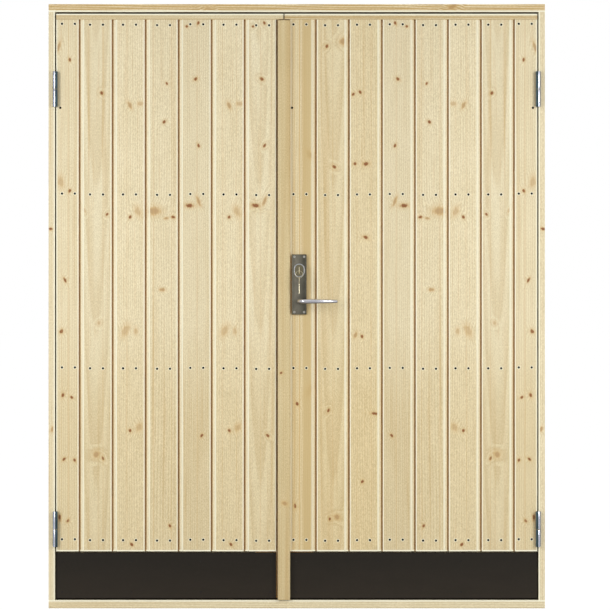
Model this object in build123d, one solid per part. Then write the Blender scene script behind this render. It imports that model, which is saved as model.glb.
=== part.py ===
from build123d import *
import math
import os

# A timber shed door of two leaves that open outwards, in its own rebated frame.
# Millimetres. +X runs to the right as seen from outside, +Y into the shed and +Z up.
# The origin is the middle of the sill's underside.

# Frame: its face widths are what shows from outside, in front of the stop
FRAME_WIDTH = 1690.0
FRAME_HEIGHT = 2057.0
FRAME_DEPTH = 95.0
JAMB_FACE = 22.0
HEAD_FACE = 27.0
SILL_FACE = 28.0
STOP_WIDTH = 20.0
STOP_GAP = 2.0
ARRIS = 1.5

# Leaves
RAIL_DEPTH = 34.0
BOARD_THICK = 16.0
STILE_WIDTH = 95.0
TOP_RAIL_WIDTH = 95.0
MID_RAIL_WIDTH = 95.0
BOTTOM_RAIL_WIDTH = 225.0
MID_RAIL_HEIGHTS = (817.0, 1409.0)
LIP_HEIGHT = 20.0
HINGE_GAP = 4.0
MEETING_GAP = 4.0
MEETING_X = -43.5
TOP_GAP = 5.5
BOTTOM_GAP = 5.5

# Mortise and tenon joints of the leaf frames
TENON_LENGTH = 38.0
TENON_THICK = 12.0
TENON_SHOULDER = 10.0
GLUE_GAP = 0.2

# Boards: the joint shows, from one board's square edge, an open slot, a shelf and a bevel
LEFT_BOARD_COUNT = 7
RIGHT_BOARD_COUNT = 8
FIRST_BOARD = 76.4
LAST_BOARD_RIP = 2.3
SLOT_WIDTH = 5.0
SHELF_WIDTH = 9.0
BEVEL_WIDTH = 4.0
SHELF_DEPTH = 4.0
SHELF_SLOPE = 0.6
SLOT_DEPTH = 9.0
TONGUE_THICK = 4.6
TONGUE_REACH = 6.0
TONGUE_GAP = 0.3
BACK_GAP = 1.0
BOARD_ARRIS = 0.8

# Kick panel and the strip over the joint between the leaves
KICK_HEIGHT = 155.0
KICK_THICK = 9.0
KICK_TOP_GAP = 5.5
STRIP_WIDTH = 42.0
STRIP_DEPTH = 28.0
STRIP_SLOT = 6.0
STRIP_RELIEF = 1.5
STRIP_TOP_GAP = 3.5
STRIP_SILL_GAP = 1.5
STRIP_ARRIS = 2.5

# Lift-off hinges
HINGE_HEIGHT = 120.0
HINGE_FROM_SILL = 270.0
HINGE_FROM_HEAD = 290.0
PLATE_DEPTH = 36.0
PLATE_THICK = 2.5
KNUCKLE_RADIUS = 8.5
KNUCKLE_CLEAR = 0.5
PIN_RADIUS = 4.5
PIN_REACH = 42.0
PIN_END_GAP = 2.0
RUNNING_FIT = 0.05
WASHER_THICK = 2.5
WASHER_RADIUS = 7.6
RECESS_FIT = 0.2

# Holes for the screws that fix the frame in a wall
FIXING_RADIUS = 7.0
FIXING_DEPTH = 32.0
FIXING_FROM_ENDS = (130.0, 700.0)

# Lock furniture on the active leaf
BACKSET = 50.0
LEVER_HEIGHT = 1045.0
CYLINDER_RISE = 105.0
LATCH_RISE = 36.0
DEAD_BOLT_RISE = 78.0
PLATE_WIDTH = 50.0
PLATE_HEIGHT = 205.0
PLATE_BELOW_LEVER = 45.0
OUTSIDE_PLATE = 9.0
INSIDE_PLATE = 6.0
PLATE_EDGE = 2.5
CASE_HEIGHT = 165.0
CASE_DEPTH = 72.0
CASE_THICK = 16.0
CASE_BELOW_LEVER = 30.0
FOREND_HEIGHT = 235.0
FOREND_WIDTH = 22.0
FOREND_THICK = 3.0
LATCH_HEIGHT = 18.0
LATCH_THICK = 12.0
LATCH_REACH = 11.0
LATCH_LENGTH = 40.0
LATCH_BEVEL = 9.0
DEAD_BOLT_HEIGHT = 26.0
DEAD_BOLT_THICK = 10.0
DEAD_BOLT_THROW = 20.0
DEAD_BOLT_LENGTH = 34.0
BOLT_FIT = 0.3
STRIKE_FIT = 1.5
STRIKE_HEIGHT = 170.0
STRIKE_WIDTH = 24.0
STRIKE_THICK = 2.5

# Lever handles: a round bar that leaves the plate, turns and runs beside it
SPINDLE_SIDE = 8.0
SPINDLE_GRIP = 18.0
SPINDLE_ROOM = 6.6
HUB_SINK = 4.0
HUB_FIT = 0.1
COLLAR_RADIUS = 13.0
COLLAR_HEIGHT = 2.0
NECK_RADIUS = 8.0
NECK_LENGTH = 24.0
ELBOW_RADIUS = 26.0
ELBOW_STEPS = 8
GRIP_RADIUS = 200.0
GRIP_ANGLE = 30.0
GRIP_STEPS = 6
GRIP_TIP = 5.6
TIP_ROUND = 2.8
TIP_END = 3.4
LEVER_SIDES = 16

# Cylinder, keys and thumb-turn
OVAL_WIDTH = 30.0
OVAL_HEIGHT = 40.0
OVAL_SIDES = 10
RING_WALL = 3.2
RING_HEIGHT = 11.0
RING_BEVEL = 1.6
RING_FIT = 0.2
CYLINDER_SINK = 1.0
PLUG_RADIUS = 7.6
KEYWAY_WIDTH = 2.8
KEYWAY_HEIGHT = 8.6
KEYWAY_DEPTH = 27.0
TAIL_WIDTH = 8.0
TAIL_THICK = 2.0
TAIL_ROOM = 6.0
KEY_THICK = 2.3
KEY_FIT = 0.2
BLADE_HEIGHT = 8.0
BLADE_LENGTH = 30.0
KEY_CUTS = (6.0, 11.4, 16.8, 22.2)
KEY_CUT_SIZE = 2.7
BOW_HEIGHT = 24.0
BOW_LENGTH = 22.0
BOW_NECK = 4.0
BOW_CORNER = 6.0
BOW_HOLE = 3.0
BOW_WALL = 2.7
LOOP_RADIUS = 12.0
LOOP_WIRE = 0.9
LOOP_FIT = 0.3
ROUND_SIDES = 24
THUMB_RADIUS = 12.0
THUMB_BASE = 3.0
THUMB_LENGTH = 26.0
THUMB_THICK = 7.0
THUMB_OUT = 15.0
THUMB_BEVEL = 5.0
THUMB_SHAFT = 5.0
THUMB_GAP = 0.3

# Flat slide bolts on the passive leaf's back, each a bar in two guides on a base plate
BAR_WIDTH = 16.0
BAR_THICK = 6.0
BAR_STAND_OFF = 12.0
BAR_FIT = 0.3
BAR_REST = 3.0
BAR_TRAVEL = 25.0
BAR_TIP_GAP = 3.0
GUIDE_SIZE = (32.0, 20.0, 14.0)
GUIDE_BEVEL = 4.0
GUIDE_END_GAP = 6.0
GUIDE_SPREAD = 86.0
BASE_WIDTH = 40.0
BASE_THICK = 2.5
KNOB_SIZE = (12.0, 14.0, 12.0)
KNOB_BEVEL = 2.0
KEEPER_SIZE = (34.0, 36.0)
KEEPER_THICK = 2.0
KEEPER_FIT = 0.6

# Places worked out from the sizes above
FRONT = -FRAME_DEPTH / 2
BACK = FRAME_DEPTH / 2
FRAME_X = FRAME_WIDTH / 2
LEAF_SEAT = FRONT + BOARD_THICK
LEAF_BACK = LEAF_SEAT + RAIL_DEPTH
STOP_FRONT = LEAF_BACK + STOP_GAP
HEAD_UNDER = FRAME_HEIGHT - HEAD_FACE
LEAF_BOTTOM = SILL_FACE + BOTTOM_GAP
LEAF_TOP = HEAD_UNDER - TOP_GAP
LIP_UNDER = LEAF_TOP - LIP_HEIGHT
KICK_TOP = LEAF_BOTTOM + KICK_HEIGHT
BOARD_BOTTOM = KICK_TOP + KICK_TOP_GAP
HINGE_EDGE = FRAME_X - JAMB_FACE - HINGE_GAP
HINGE_X = HINGE_EDGE + HINGE_GAP / 2
HINGE_Y = FRONT - KNUCKLE_RADIUS - KNUCKLE_CLEAR
HINGE_CENTRES = (HINGE_FROM_SILL, FRAME_HEIGHT - HINGE_FROM_HEAD)
FIXING_HEIGHTS = FIXING_FROM_ENDS + tuple(FRAME_HEIGHT - rise for rise in FIXING_FROM_ENDS)
RAIL_MIDDLE = (LEAF_SEAT + LEAF_BACK) / 2
LEFT_EDGE = MEETING_X - MEETING_GAP / 2
RIGHT_EDGE = MEETING_X + MEETING_GAP / 2
STRIP_LEFT = MEETING_X - STRIP_WIDTH / 2
STRIP_RIGHT = MEETING_X + STRIP_WIDTH / 2
STRIP_FRONT = LEAF_SEAT - STRIP_DEPTH
CLAD_END = STRIP_LEFT - STRIP_SLOT
BOARD_PITCH = (HINGE_EDGE + CLAD_END - FIRST_BOARD + LAST_BOARD_RIP) / (LEFT_BOARD_COUNT - 1)
LOCK_X = RIGHT_EDGE + BACKSET
CYLINDER_Z = LEVER_HEIGHT + CYLINDER_RISE
OUTSIDE_FACE = FRONT - OUTSIDE_PLATE
INSIDE_FACE = LEAF_BACK + INSIDE_PLATE
CYLINDER_FACE = OUTSIDE_FACE - RING_HEIGHT + CYLINDER_SINK
CASE_FRONT = RAIL_MIDDLE - CASE_THICK / 2
BAR_X = LEFT_EDGE - STILE_WIDTH / 2
BAR_Y = LEAF_BACK + BAR_STAND_OFF
UP = (0, 0, 1)
INWARD = (0, 1, 0)
OUTWARD = (0, -1, 0)


def block(x_range, y_range, z_range):
    """A rectangular piece between two places along each axis."""
    spans = [sorted(r) for r in (x_range, y_range, z_range)]
    middle = [(a + b) / 2 for a, b in spans]
    return Pos(*middle) * Box(*[b - a for a, b in spans])


def prism_z(points, z_range):
    """A piece of constant section along Z, from its outline in X and Y."""
    outline = make_face(Polyline(*points, close=True))
    return Pos(0, 0, z_range[0]) * extrude(outline, amount=z_range[1] - z_range[0])


def prism_x(points, x_range):
    """A piece of constant section along X, from its outline in Y and Z."""
    outline = Plane.YZ * make_face(Polyline(*points, close=True))
    return Pos(x_range[0], 0, 0) * extrude(outline, amount=x_range[1] - x_range[0])


def rod(start, direction, radius, length):
    """A round bar or a drill's path from a point along a direction."""
    seat = (Align.CENTER, Align.CENTER, Align.MIN)
    return Plane(origin=start, z_dir=direction) * Cylinder(radius, length, align=seat)


def mirrored(piece):
    """The same piece for the other side of the door."""
    return mirror(piece, about=Plane.YZ)


def cut(piece, tools):
    """A piece less a list of cutting shapes."""
    for tool in tools:
        piece = piece - tool
    return piece


def stop_face(top):
    """The height of the stop's face that a slide bolt meets, in the head or in the sill."""
    return HEAD_UNDER - STOP_WIDTH if top else SILL_FACE + STOP_WIDTH


def bolt_way(top):
    """Which way a slide bolt shoots, as a sign along Z."""
    return 1 if top else -1


def lying_member(top):
    """The head or the sill: a bar over both jambs' ends, with its stop cut back between theirs."""
    outer, rebate = (FRAME_HEIGHT, HEAD_UNDER) if top else (0, SILL_FACE)
    away = 1 if top else -1
    inner_x = FRAME_X - JAMB_FACE
    bar = block((-FRAME_X, FRAME_X), (FRONT, BACK), (outer, rebate))
    arris = [(FRONT, rebate), (FRONT + ARRIS, rebate), (FRONT, rebate + away * ARRIS)]
    stop_x = inner_x - STOP_WIDTH
    stop = block((-stop_x, stop_x), (STOP_FRONT, BACK), (rebate, stop_face(top)))
    body = bar - prism_x(arris, (-inner_x, inner_x)) + stop
    return body - keeper_plate(top, GLUE_GAP) - bar_hole(top)


def frame_jamb():
    """The left jamb, from the sill to the head, with its stop, hinge recesses and fixing holes."""
    inner = JAMB_FACE - FRAME_X
    stop = inner + STOP_WIDTH
    outline = [
        (-FRAME_X, FRONT),
        (inner - ARRIS, FRONT),
        (inner, FRONT + ARRIS),
        (inner, STOP_FRONT),
        (stop, STOP_FRONT),
        (stop, BACK),
        (-FRAME_X, BACK),
    ]
    body = prism_z(outline, (SILL_FACE, HEAD_UNDER))
    for height in HINGE_CENTRES:
        body = body - hinge_plate(height, -HINGE_X - HINGE_GAP / 2, -1, RECESS_FIT)
    for height in FIXING_HEIGHTS:
        start = (-FRAME_X, FRONT + FIXING_DEPTH, height)
        body = body - rod(start, (1, 0, 0), FIXING_RADIUS, JAMB_FACE)
    return body


def hinge_plate(height, wood_x, side, fit=0.0):
    """One flap of a hinge, let in flush with the wood at wood_x; side is the way into the wood."""
    half = HINGE_HEIGHT / 2 + fit
    return block(
        (wood_x, wood_x + side * PLATE_THICK),
        (FRONT, FRONT + PLATE_DEPTH + fit),
        (height - half, height + half),
    )


def knuckle(z_range, wood_x, side):
    """A hinge's barrel over a stretch of its height, with the bend that joins it to its flap."""
    barrel = rod((-HINGE_X, HINGE_Y, z_range[0]), UP, KNUCKLE_RADIUS, z_range[1] - z_range[0])
    return barrel + block((wood_x, wood_x + side * PLATE_THICK), (HINGE_Y, FRONT), z_range)


def frame_half(height):
    """The jamb's half of a hinge: flap, lower knuckle and fixed pin."""
    wood_x = -HINGE_X - HINGE_GAP / 2
    top = height - WASHER_THICK / 2
    half = hinge_plate(height, wood_x, -1) + knuckle((height - HINGE_HEIGHT / 2, top), wood_x, -1)
    length = KNUCKLE_RADIUS + WASHER_THICK + PIN_REACH
    return half + rod((-HINGE_X, HINGE_Y, top - KNUCKLE_RADIUS), UP, PIN_RADIUS, length)


def leaf_half(height):
    """The leaf's half of a hinge: flap and upper knuckle, bored from below for the pin."""
    wood_x = -HINGE_EDGE
    foot = height + WASHER_THICK / 2
    half = hinge_plate(height, wood_x, 1) + knuckle((foot, height + HINGE_HEIGHT / 2), wood_x, 1)
    return half - rod((-HINGE_X, HINGE_Y, foot), UP, PIN_RADIUS + RUNNING_FIT, PIN_REACH + PIN_END_GAP)


def hinge_washer(height):
    """The bearing washer between the two knuckles."""
    foot = (-HINGE_X, HINGE_Y, height - WASHER_THICK / 2)
    ring = rod(foot, UP, WASHER_RADIUS, WASHER_THICK)
    return ring - rod(foot, UP, PIN_RADIUS + RUNNING_FIT, WASHER_THICK)


def tenon(x_range, z_range, fit=0.0):
    """A rail's tenon, or with a fit the mortise that takes it."""
    half = TENON_THICK / 2 + fit
    z_low = z_range[0] + TENON_SHOULDER - fit
    z_high = z_range[1] - TENON_SHOULDER + fit
    return block(x_range, (RAIL_MIDDLE - half, RAIL_MIDDLE + half), (z_low, z_high))


def rail_heights():
    """The height range of each rail of a leaf, from the bottom one up."""
    half = MID_RAIL_WIDTH / 2
    middle = [(z - half, z + half) for z in MID_RAIL_HEIGHTS]
    low = (LEAF_BOTTOM, LEAF_BOTTOM + BOTTOM_RAIL_WIDTH)
    return [low] + middle + [(LEAF_TOP - TOP_RAIL_WIDTH, LEAF_TOP)]


def leaf_stile(x_range, joint_x, side):
    """A stile with a mortise for each rail, cut from joint_x into the stile, which lies on that side."""
    body = block(x_range, (LEAF_SEAT, LEAF_BACK), (LEAF_BOTTOM, LEAF_TOP))
    for z_range in rail_heights():
        body = body - tenon((joint_x, joint_x + side * (TENON_LENGTH + GLUE_GAP)), z_range, GLUE_GAP)
    return body


def leaf_rail(meet_x, z_range):
    """A rail between the stiles of a leaf, with a tenon at each end."""
    start = STILE_WIDTH - HINGE_EDGE
    end = meet_x - STILE_WIDTH
    body = block((start, end), (LEAF_SEAT, LEAF_BACK), z_range)
    body = body + tenon((start - TENON_LENGTH, start), z_range)
    return body + tenon((end, end + TENON_LENGTH), z_range)


def top_rail(meet_x):
    """The top rail with the lip that covers the boards' upper ends over the leaf's whole width."""
    section = [
        (LEAF_SEAT, LIP_UNDER),
        (FRONT + BOARD_ARRIS, LIP_UNDER),
        (FRONT, LIP_UNDER + BOARD_ARRIS),
        (FRONT, LEAF_TOP - ARRIS),
        (FRONT + ARRIS, LEAF_TOP),
        (LEAF_SEAT, LEAF_TOP),
    ]
    return leaf_rail(meet_x, rail_heights()[-1]) + prism_x(section, (-HINGE_EDGE, meet_x))


def board_lines(clad_end, boards):
    """Where each of a leaf's boards begins, from the hinge side, and where the last one ends."""
    lines = [FIRST_BOARD - HINGE_EDGE + BOARD_PITCH * n for n in range(boards - 1)]
    return [-HINGE_EDGE] + lines + [clad_end]


def board(x_range, first, last):
    """One board: tongue, shelf and bevel on its hinge side, groove and square edge on the other.

    The outer boards of a leaf are ripped, so the first has no tongue and the last no groove.
    """
    x0, x1 = x_range
    rear = LEAF_SEAT
    tongue_top = FRONT + SLOT_DEPTH
    tongue_under = tongue_top + TONGUE_THICK
    shelf = FRONT + SHELF_DEPTH
    near = x0 + SLOT_WIDTH
    far = near + SHELF_WIDTH
    hinge_side = [(x0, rear), (x0, FRONT + ARRIS), (x0 + ARRIS, FRONT)] if first else [
        (x0 + BACK_GAP, rear),
        (x0 + BACK_GAP, tongue_under),
        (x0 - TONGUE_REACH, tongue_under),
        (x0 - TONGUE_REACH, tongue_top),
        (near, tongue_top),
        (near, shelf),
        (far, shelf - SHELF_SLOPE),
        (far + BEVEL_WIDTH, FRONT),
    ]
    groove = x1 - TONGUE_REACH - BACK_GAP
    other_side = [(x1, FRONT), (x1, rear)] if last else [
        (x1 - BOARD_ARRIS, FRONT),
        (x1, FRONT + BOARD_ARRIS),
        (x1, tongue_top - TONGUE_GAP),
        (groove, tongue_top - TONGUE_GAP),
        (groove, tongue_under + TONGUE_GAP),
        (x1, tongue_under + TONGUE_GAP),
        (x1, rear),
    ]
    return prism_z(hinge_side + other_side, (BOARD_BOTTOM, LIP_UNDER))


def kick_panel(clad_end):
    """The plywood panel below the boards."""
    return block((-HINGE_EDGE, clad_end), (LEAF_SEAT - KICK_THICK, LEAF_SEAT), (LEAF_BOTTOM, KICK_TOP))


def overlap_strip():
    """The strip on the active leaf, relieved behind where it laps over the passive one."""
    a = STRIP_ARRIS
    outline = [
        (STRIP_LEFT + a, STRIP_FRONT),
        (STRIP_RIGHT - a, STRIP_FRONT),
        (STRIP_RIGHT, STRIP_FRONT + a),
        (STRIP_RIGHT, LEAF_SEAT),
        (RIGHT_EDGE, LEAF_SEAT),
        (RIGHT_EDGE, LEAF_SEAT - STRIP_RELIEF),
        (STRIP_LEFT, LEAF_SEAT - STRIP_RELIEF),
        (STRIP_LEFT, STRIP_FRONT + a),
    ]
    return prism_z(outline, (SILL_FACE + STRIP_SILL_GAP, LIP_UNDER - STRIP_TOP_GAP))


def hinge_side_cut(piece):
    """A piece on the leaf's hinge edge, with the recesses of both hinges."""
    return cut(piece, [hinge_plate(height, -HINGE_EDGE, 1, RECESS_FIT) for height in HINGE_CENTRES])


def leaf(meet_x, clad_end, boards):
    """The wooden pieces of a leaf that hangs on the left, by name."""
    joint = STILE_WIDTH - HINGE_EDGE
    hinge_stile = leaf_stile((-HINGE_EDGE, joint), joint, -1)
    far_stile = leaf_stile((meet_x - STILE_WIDTH, meet_x), meet_x - STILE_WIDTH, 1)
    low, lower, upper, _ = rail_heights()
    pieces = {
        "hinge_stile": hinge_side_cut(hinge_stile),
        "far_stile": far_stile,
        "top_rail": top_rail(meet_x),
        "mid_rails": [leaf_rail(meet_x, lower), leaf_rail(meet_x, upper)],
        "bottom_rail": leaf_rail(meet_x, low),
        "kick_panel": kick_panel(clad_end),
        "hinge_halves": [leaf_half(height) for height in HINGE_CENTRES],
    }
    lines = board_lines(clad_end, boards)
    for n in range(boards):
        piece = board((lines[n], lines[n + 1]), n == 0, n == boards - 1)
        pieces[f"board_{n + 1}"] = hinge_side_cut(piece) if n == 0 else piece
    return pieces


def oval_bar(y_range, width, height, fit=0.0):
    """A bar of the cylinder's oval section along Y, each round end in a few flats."""
    near, far = y_range
    radius = width / 2 + fit
    rise = (height - width) / 2
    points = []
    for n in range(2 * OVAL_SIDES + 2):
        top = n <= OVAL_SIDES
        turn = math.pi * (n if top else n - 1) / OVAL_SIDES
        points.append((radius * math.cos(turn), radius * math.sin(turn) + (rise if top else -rise)))
    outline = make_face(Polyline(*points, close=True))
    plane = Plane(origin=(LOCK_X, far, CYLINDER_Z), x_dir=(1, 0, 0), z_dir=OUTWARD)
    return extrude(plane * outline, amount=far - near)


def long_plate(seat, face):
    """A long plate from the wood at seat to its face, with bevelled edges and a collar at the lever."""
    middle = LEVER_HEIGHT - PLATE_BELOW_LEVER + PLATE_HEIGHT / 2
    out = OUTWARD if face < seat else INWARD
    body = block(
        (LOCK_X - PLATE_WIDTH / 2, LOCK_X + PLATE_WIDTH / 2),
        (seat, face),
        (middle - PLATE_HEIGHT / 2, middle + PLATE_HEIGHT / 2),
    )
    edges = body.faces().sort_by(Axis.Y)[0 if face < seat else -1].edges()
    body = chamfer(edges, PLATE_EDGE)
    body = body + rod((LOCK_X, face, LEVER_HEIGHT), out, COLLAR_RADIUS, COLLAR_HEIGHT)
    hole = rod((LOCK_X, seat, LEVER_HEIGHT), out, NECK_RADIUS + HUB_FIT, abs(face - seat) + COLLAR_HEIGHT)
    return body - hole


def outside_plate():
    """The outside long plate, cut out for the cylinder."""
    hole = oval_bar((OUTSIDE_FACE, FRONT), OVAL_WIDTH, OVAL_HEIGHT, RING_FIT)
    return long_plate(FRONT, OUTSIDE_FACE) - hole


def inside_plate():
    """The inside long plate, bored for the thumb-turn's shaft."""
    hole = rod((LOCK_X, LEAF_BACK, CYLINDER_Z), INWARD, THUMB_SHAFT + HUB_FIT, INSIDE_PLATE)
    return long_plate(LEAF_BACK, INSIDE_FACE) - hole


def cylinder_ring():
    """The oval ring on the plate round the cylinder, bevelled at its outer edge."""
    width = OVAL_WIDTH + 2 * RING_WALL
    height = OVAL_HEIGHT + 2 * RING_WALL
    face = OUTSIDE_FACE - RING_HEIGHT
    body = oval_bar((face, OUTSIDE_FACE), width, height, RING_FIT)
    body = chamfer(body.faces().sort_by(Axis.Y)[0].edges(), RING_BEVEL)
    return body - oval_bar((face, OUTSIDE_FACE), OVAL_WIDTH, OVAL_HEIGHT, RING_FIT)


def cylinder_housing():
    """The oval cylinder from its face to the lock case, bored for the plug."""
    body = oval_bar((CYLINDER_FACE, CASE_FRONT), OVAL_WIDTH, OVAL_HEIGHT)
    start = (LOCK_X, CYLINDER_FACE, CYLINDER_Z)
    return body - rod(start, INWARD, PLUG_RADIUS + RUNNING_FIT, CASE_FRONT - CYLINDER_FACE)


def cylinder_plug():
    """The plug with its keyway in front and its flat tailpiece through the lock case."""
    start = (LOCK_X, CYLINDER_FACE, CYLINDER_Z)
    body = rod(start, INWARD, PLUG_RADIUS, CASE_FRONT - CYLINDER_FACE)
    keyway = block(
        (LOCK_X - KEYWAY_WIDTH / 2, LOCK_X + KEYWAY_WIDTH / 2),
        (CYLINDER_FACE, CYLINDER_FACE + KEYWAY_DEPTH),
        (CYLINDER_Z - KEYWAY_HEIGHT / 2, CYLINDER_Z + KEYWAY_HEIGHT / 2),
    )
    tail = block(
        (LOCK_X - TAIL_THICK / 2, LOCK_X + TAIL_THICK / 2),
        (CASE_FRONT, LEAF_BACK),
        (CYLINDER_Z - TAIL_WIDTH / 2, CYLINDER_Z + TAIL_WIDTH / 2),
    )
    return body - keyway + tail


def key_blank(tip, blade_way, thick_axis):
    """A key with its bow, from the blade's tip along a direction, flat across thick_axis."""
    plane = Plane(origin=tip, x_dir=blade_way, z_dir=thick_axis)
    seat = (Align.MIN, Align.CENTER)
    blade = Rectangle(BLADE_LENGTH + BOW_NECK, BLADE_HEIGHT, align=seat)
    bow = Rectangle(BOW_LENGTH, BOW_HEIGHT, align=seat)
    bow = Pos(BLADE_LENGTH + BOW_NECK, 0) * chamfer(bow.vertices(), BOW_CORNER)
    hole = Pos(bow_hole_place(), 0) * Circle(BOW_HOLE)
    notch = Rectangle(KEY_CUT_SIZE, KEY_CUT_SIZE, rotation=45)
    notches = [Pos(reach, -BLADE_HEIGHT / 2) * notch for reach in KEY_CUTS]
    outline = cut(blade + bow - hole, notches)
    return extrude(plane * outline, amount=KEY_THICK / 2, both=True)


def bow_hole_place():
    """How far the bow's hole lies from the blade's tip."""
    return BLADE_LENGTH + BOW_NECK + BOW_LENGTH - BOW_HOLE - BOW_WALL


def loop_place():
    """The middle of the split ring, which hangs through the inserted key's bow."""
    y = CYLINDER_FACE + KEYWAY_DEPTH - KEY_FIT - bow_hole_place()
    drop = LOOP_RADIUS + BOW_HOLE - LOOP_WIRE - LOOP_FIT
    return (LOCK_X, y, CYLINDER_Z - drop)


def key_loop():
    """The split ring, a flat coil that hangs level with the door's face."""
    outer = RegularPolygon(LOOP_RADIUS + LOOP_WIRE, ROUND_SIDES)
    inner = RegularPolygon(LOOP_RADIUS - LOOP_WIRE, ROUND_SIDES)
    plane = Plane(origin=loop_place(), z_dir=OUTWARD)
    return extrude(plane * (outer - inner), amount=LOOP_WIRE, both=True)


def inserted_key():
    """The key in the plug, its bow outside and upright."""
    tip = (LOCK_X, CYLINDER_FACE + KEYWAY_DEPTH - KEY_FIT, CYLINDER_Z)
    return key_blank(tip, OUTWARD, (1, 0, 0))


def spare_key():
    """The second key, which hangs from the ring with its blade down."""
    x, y, z = loop_place()
    rest = z - LOOP_RADIUS + LOOP_WIRE + LOOP_FIT - BOW_HOLE
    tip = (x, y, rest - bow_hole_place())
    return key_blank(tip, UP, (1, 0, 0))


def thumb_turn():
    """The inside thumb-turn: shaft to the tailpiece, round base and flat wing."""
    shaft = rod((LOCK_X, LEAF_BACK, CYLINDER_Z), INWARD, THUMB_SHAFT, INSIDE_PLATE + THUMB_GAP)
    foot = INSIDE_FACE + THUMB_GAP
    base_plane = Plane(origin=(LOCK_X, foot, CYLINDER_Z), z_dir=INWARD)
    base = extrude(base_plane * RegularPolygon(THUMB_RADIUS, ROUND_SIDES), amount=THUMB_BASE)
    wing = block(
        (LOCK_X - THUMB_THICK / 2, LOCK_X + THUMB_THICK / 2),
        (foot + THUMB_BASE, foot + THUMB_OUT),
        (CYLINDER_Z - THUMB_LENGTH / 2, CYLINDER_Z + THUMB_LENGTH / 2),
    )
    ends = wing.edges().filter_by(Axis.X).sort_by(Axis.Y)[2:]
    return shaft + base + chamfer(ends, THUMB_BEVEL)


def spindle():
    """The square bar that both levers turn on."""
    half = SPINDLE_SIDE / 2
    ends = (OUTSIDE_FACE + HUB_SINK - SPINDLE_GRIP, INSIDE_FACE - HUB_SINK + SPINDLE_GRIP)
    return block((LOCK_X - half, LOCK_X + half), ends, (LEVER_HEIGHT - half, LEVER_HEIGHT + half))


def lever_section(place, way, radius):
    """A section of the lever's bar, square to the way that the bar runs there."""
    return Plane(origin=place, x_dir=UP, z_dir=way) * RegularPolygon(radius, LEVER_SIDES)


def outside_lever():
    """The outside handle: hub in the plate, neck, elbow and a grip that tapers back to the door."""
    hub_y = OUTSIDE_FACE + HUB_SINK
    neck_y = OUTSIDE_FACE - NECK_LENGTH
    sections = [lever_section((LOCK_X, hub_y, LEVER_HEIGHT), OUTWARD, NECK_RADIUS)]
    for n in range(ELBOW_STEPS + 1):
        turn = math.radians(90) * n / ELBOW_STEPS
        x = LOCK_X + ELBOW_RADIUS * (1 - math.cos(turn))
        y = neck_y - ELBOW_RADIUS * math.sin(turn)
        way = (math.sin(turn), -math.cos(turn), 0)
        sections.append(lever_section((x, y, LEVER_HEIGHT), way, NECK_RADIUS))
    for n in range(1, GRIP_STEPS + 1):
        turn = math.radians(GRIP_ANGLE) * n / GRIP_STEPS
        x = LOCK_X + ELBOW_RADIUS + GRIP_RADIUS * math.sin(turn)
        y = neck_y - ELBOW_RADIUS + GRIP_RADIUS * (1 - math.cos(turn))
        way = (math.cos(turn), math.sin(turn), 0)
        radius = NECK_RADIUS + (GRIP_TIP - NECK_RADIUS) * n / GRIP_STEPS
        sections.append(lever_section((x, y, LEVER_HEIGHT), way, radius))
    tip = tuple(a + b * TIP_ROUND for a, b in zip((x, y, LEVER_HEIGHT), way))
    sections.append(lever_section(tip, way, TIP_END))
    half = SPINDLE_SIDE / 2 + RUNNING_FIT
    socket = block(
        (LOCK_X - half, LOCK_X + half),
        (hub_y, hub_y - SPINDLE_GRIP - RUNNING_FIT),
        (LEVER_HEIGHT - half, LEVER_HEIGHT + half),
    )
    return loft(sections, ruled=True) - socket


def inside_lever():
    """The inside handle, the mirror image of the outside one."""
    middle = (OUTSIDE_FACE + INSIDE_FACE) / 2
    return mirror(outside_lever(), about=Plane(origin=(0, middle, 0), z_dir=INWARD))


def latch_shape(fit=0.0, reach=0.0):
    """The latch bolt's bar from its tip into the case, or the passage that it slides in."""
    z = LEVER_HEIGHT + LATCH_RISE
    return block(
        (RIGHT_EDGE - LATCH_REACH, RIGHT_EDGE - LATCH_REACH + LATCH_LENGTH + reach),
        (RAIL_MIDDLE - LATCH_THICK / 2 - fit, RAIL_MIDDLE + LATCH_THICK / 2 + fit),
        (z - LATCH_HEIGHT / 2 - fit, z + LATCH_HEIGHT / 2 + fit),
    )


def latch_bolt():
    """The sprung latch bolt, bevelled on the side that meets the strike as the leaf closes."""
    nose = RIGHT_EDGE - LATCH_REACH
    rear = RAIL_MIDDLE + LATCH_THICK / 2
    corner = [(nose, rear), (nose + LATCH_REACH, rear), (nose, rear - LATCH_BEVEL)]
    z = LEVER_HEIGHT + LATCH_RISE
    return latch_shape() - prism_z(corner, (z - LATCH_HEIGHT / 2, z + LATCH_HEIGHT / 2))


def dead_bolt_shape(fit=0.0, reach=0.0):
    """The dead bolt's bar, drawn back flush with the forend, or the passage that it slides in."""
    z = LEVER_HEIGHT + DEAD_BOLT_RISE
    return block(
        (RIGHT_EDGE, RIGHT_EDGE + DEAD_BOLT_LENGTH + reach),
        (RAIL_MIDDLE - DEAD_BOLT_THICK / 2 - fit, RAIL_MIDDLE + DEAD_BOLT_THICK / 2 + fit),
        (z - DEAD_BOLT_HEIGHT / 2 - fit, z + DEAD_BOLT_HEIGHT / 2 + fit),
    )


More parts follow.
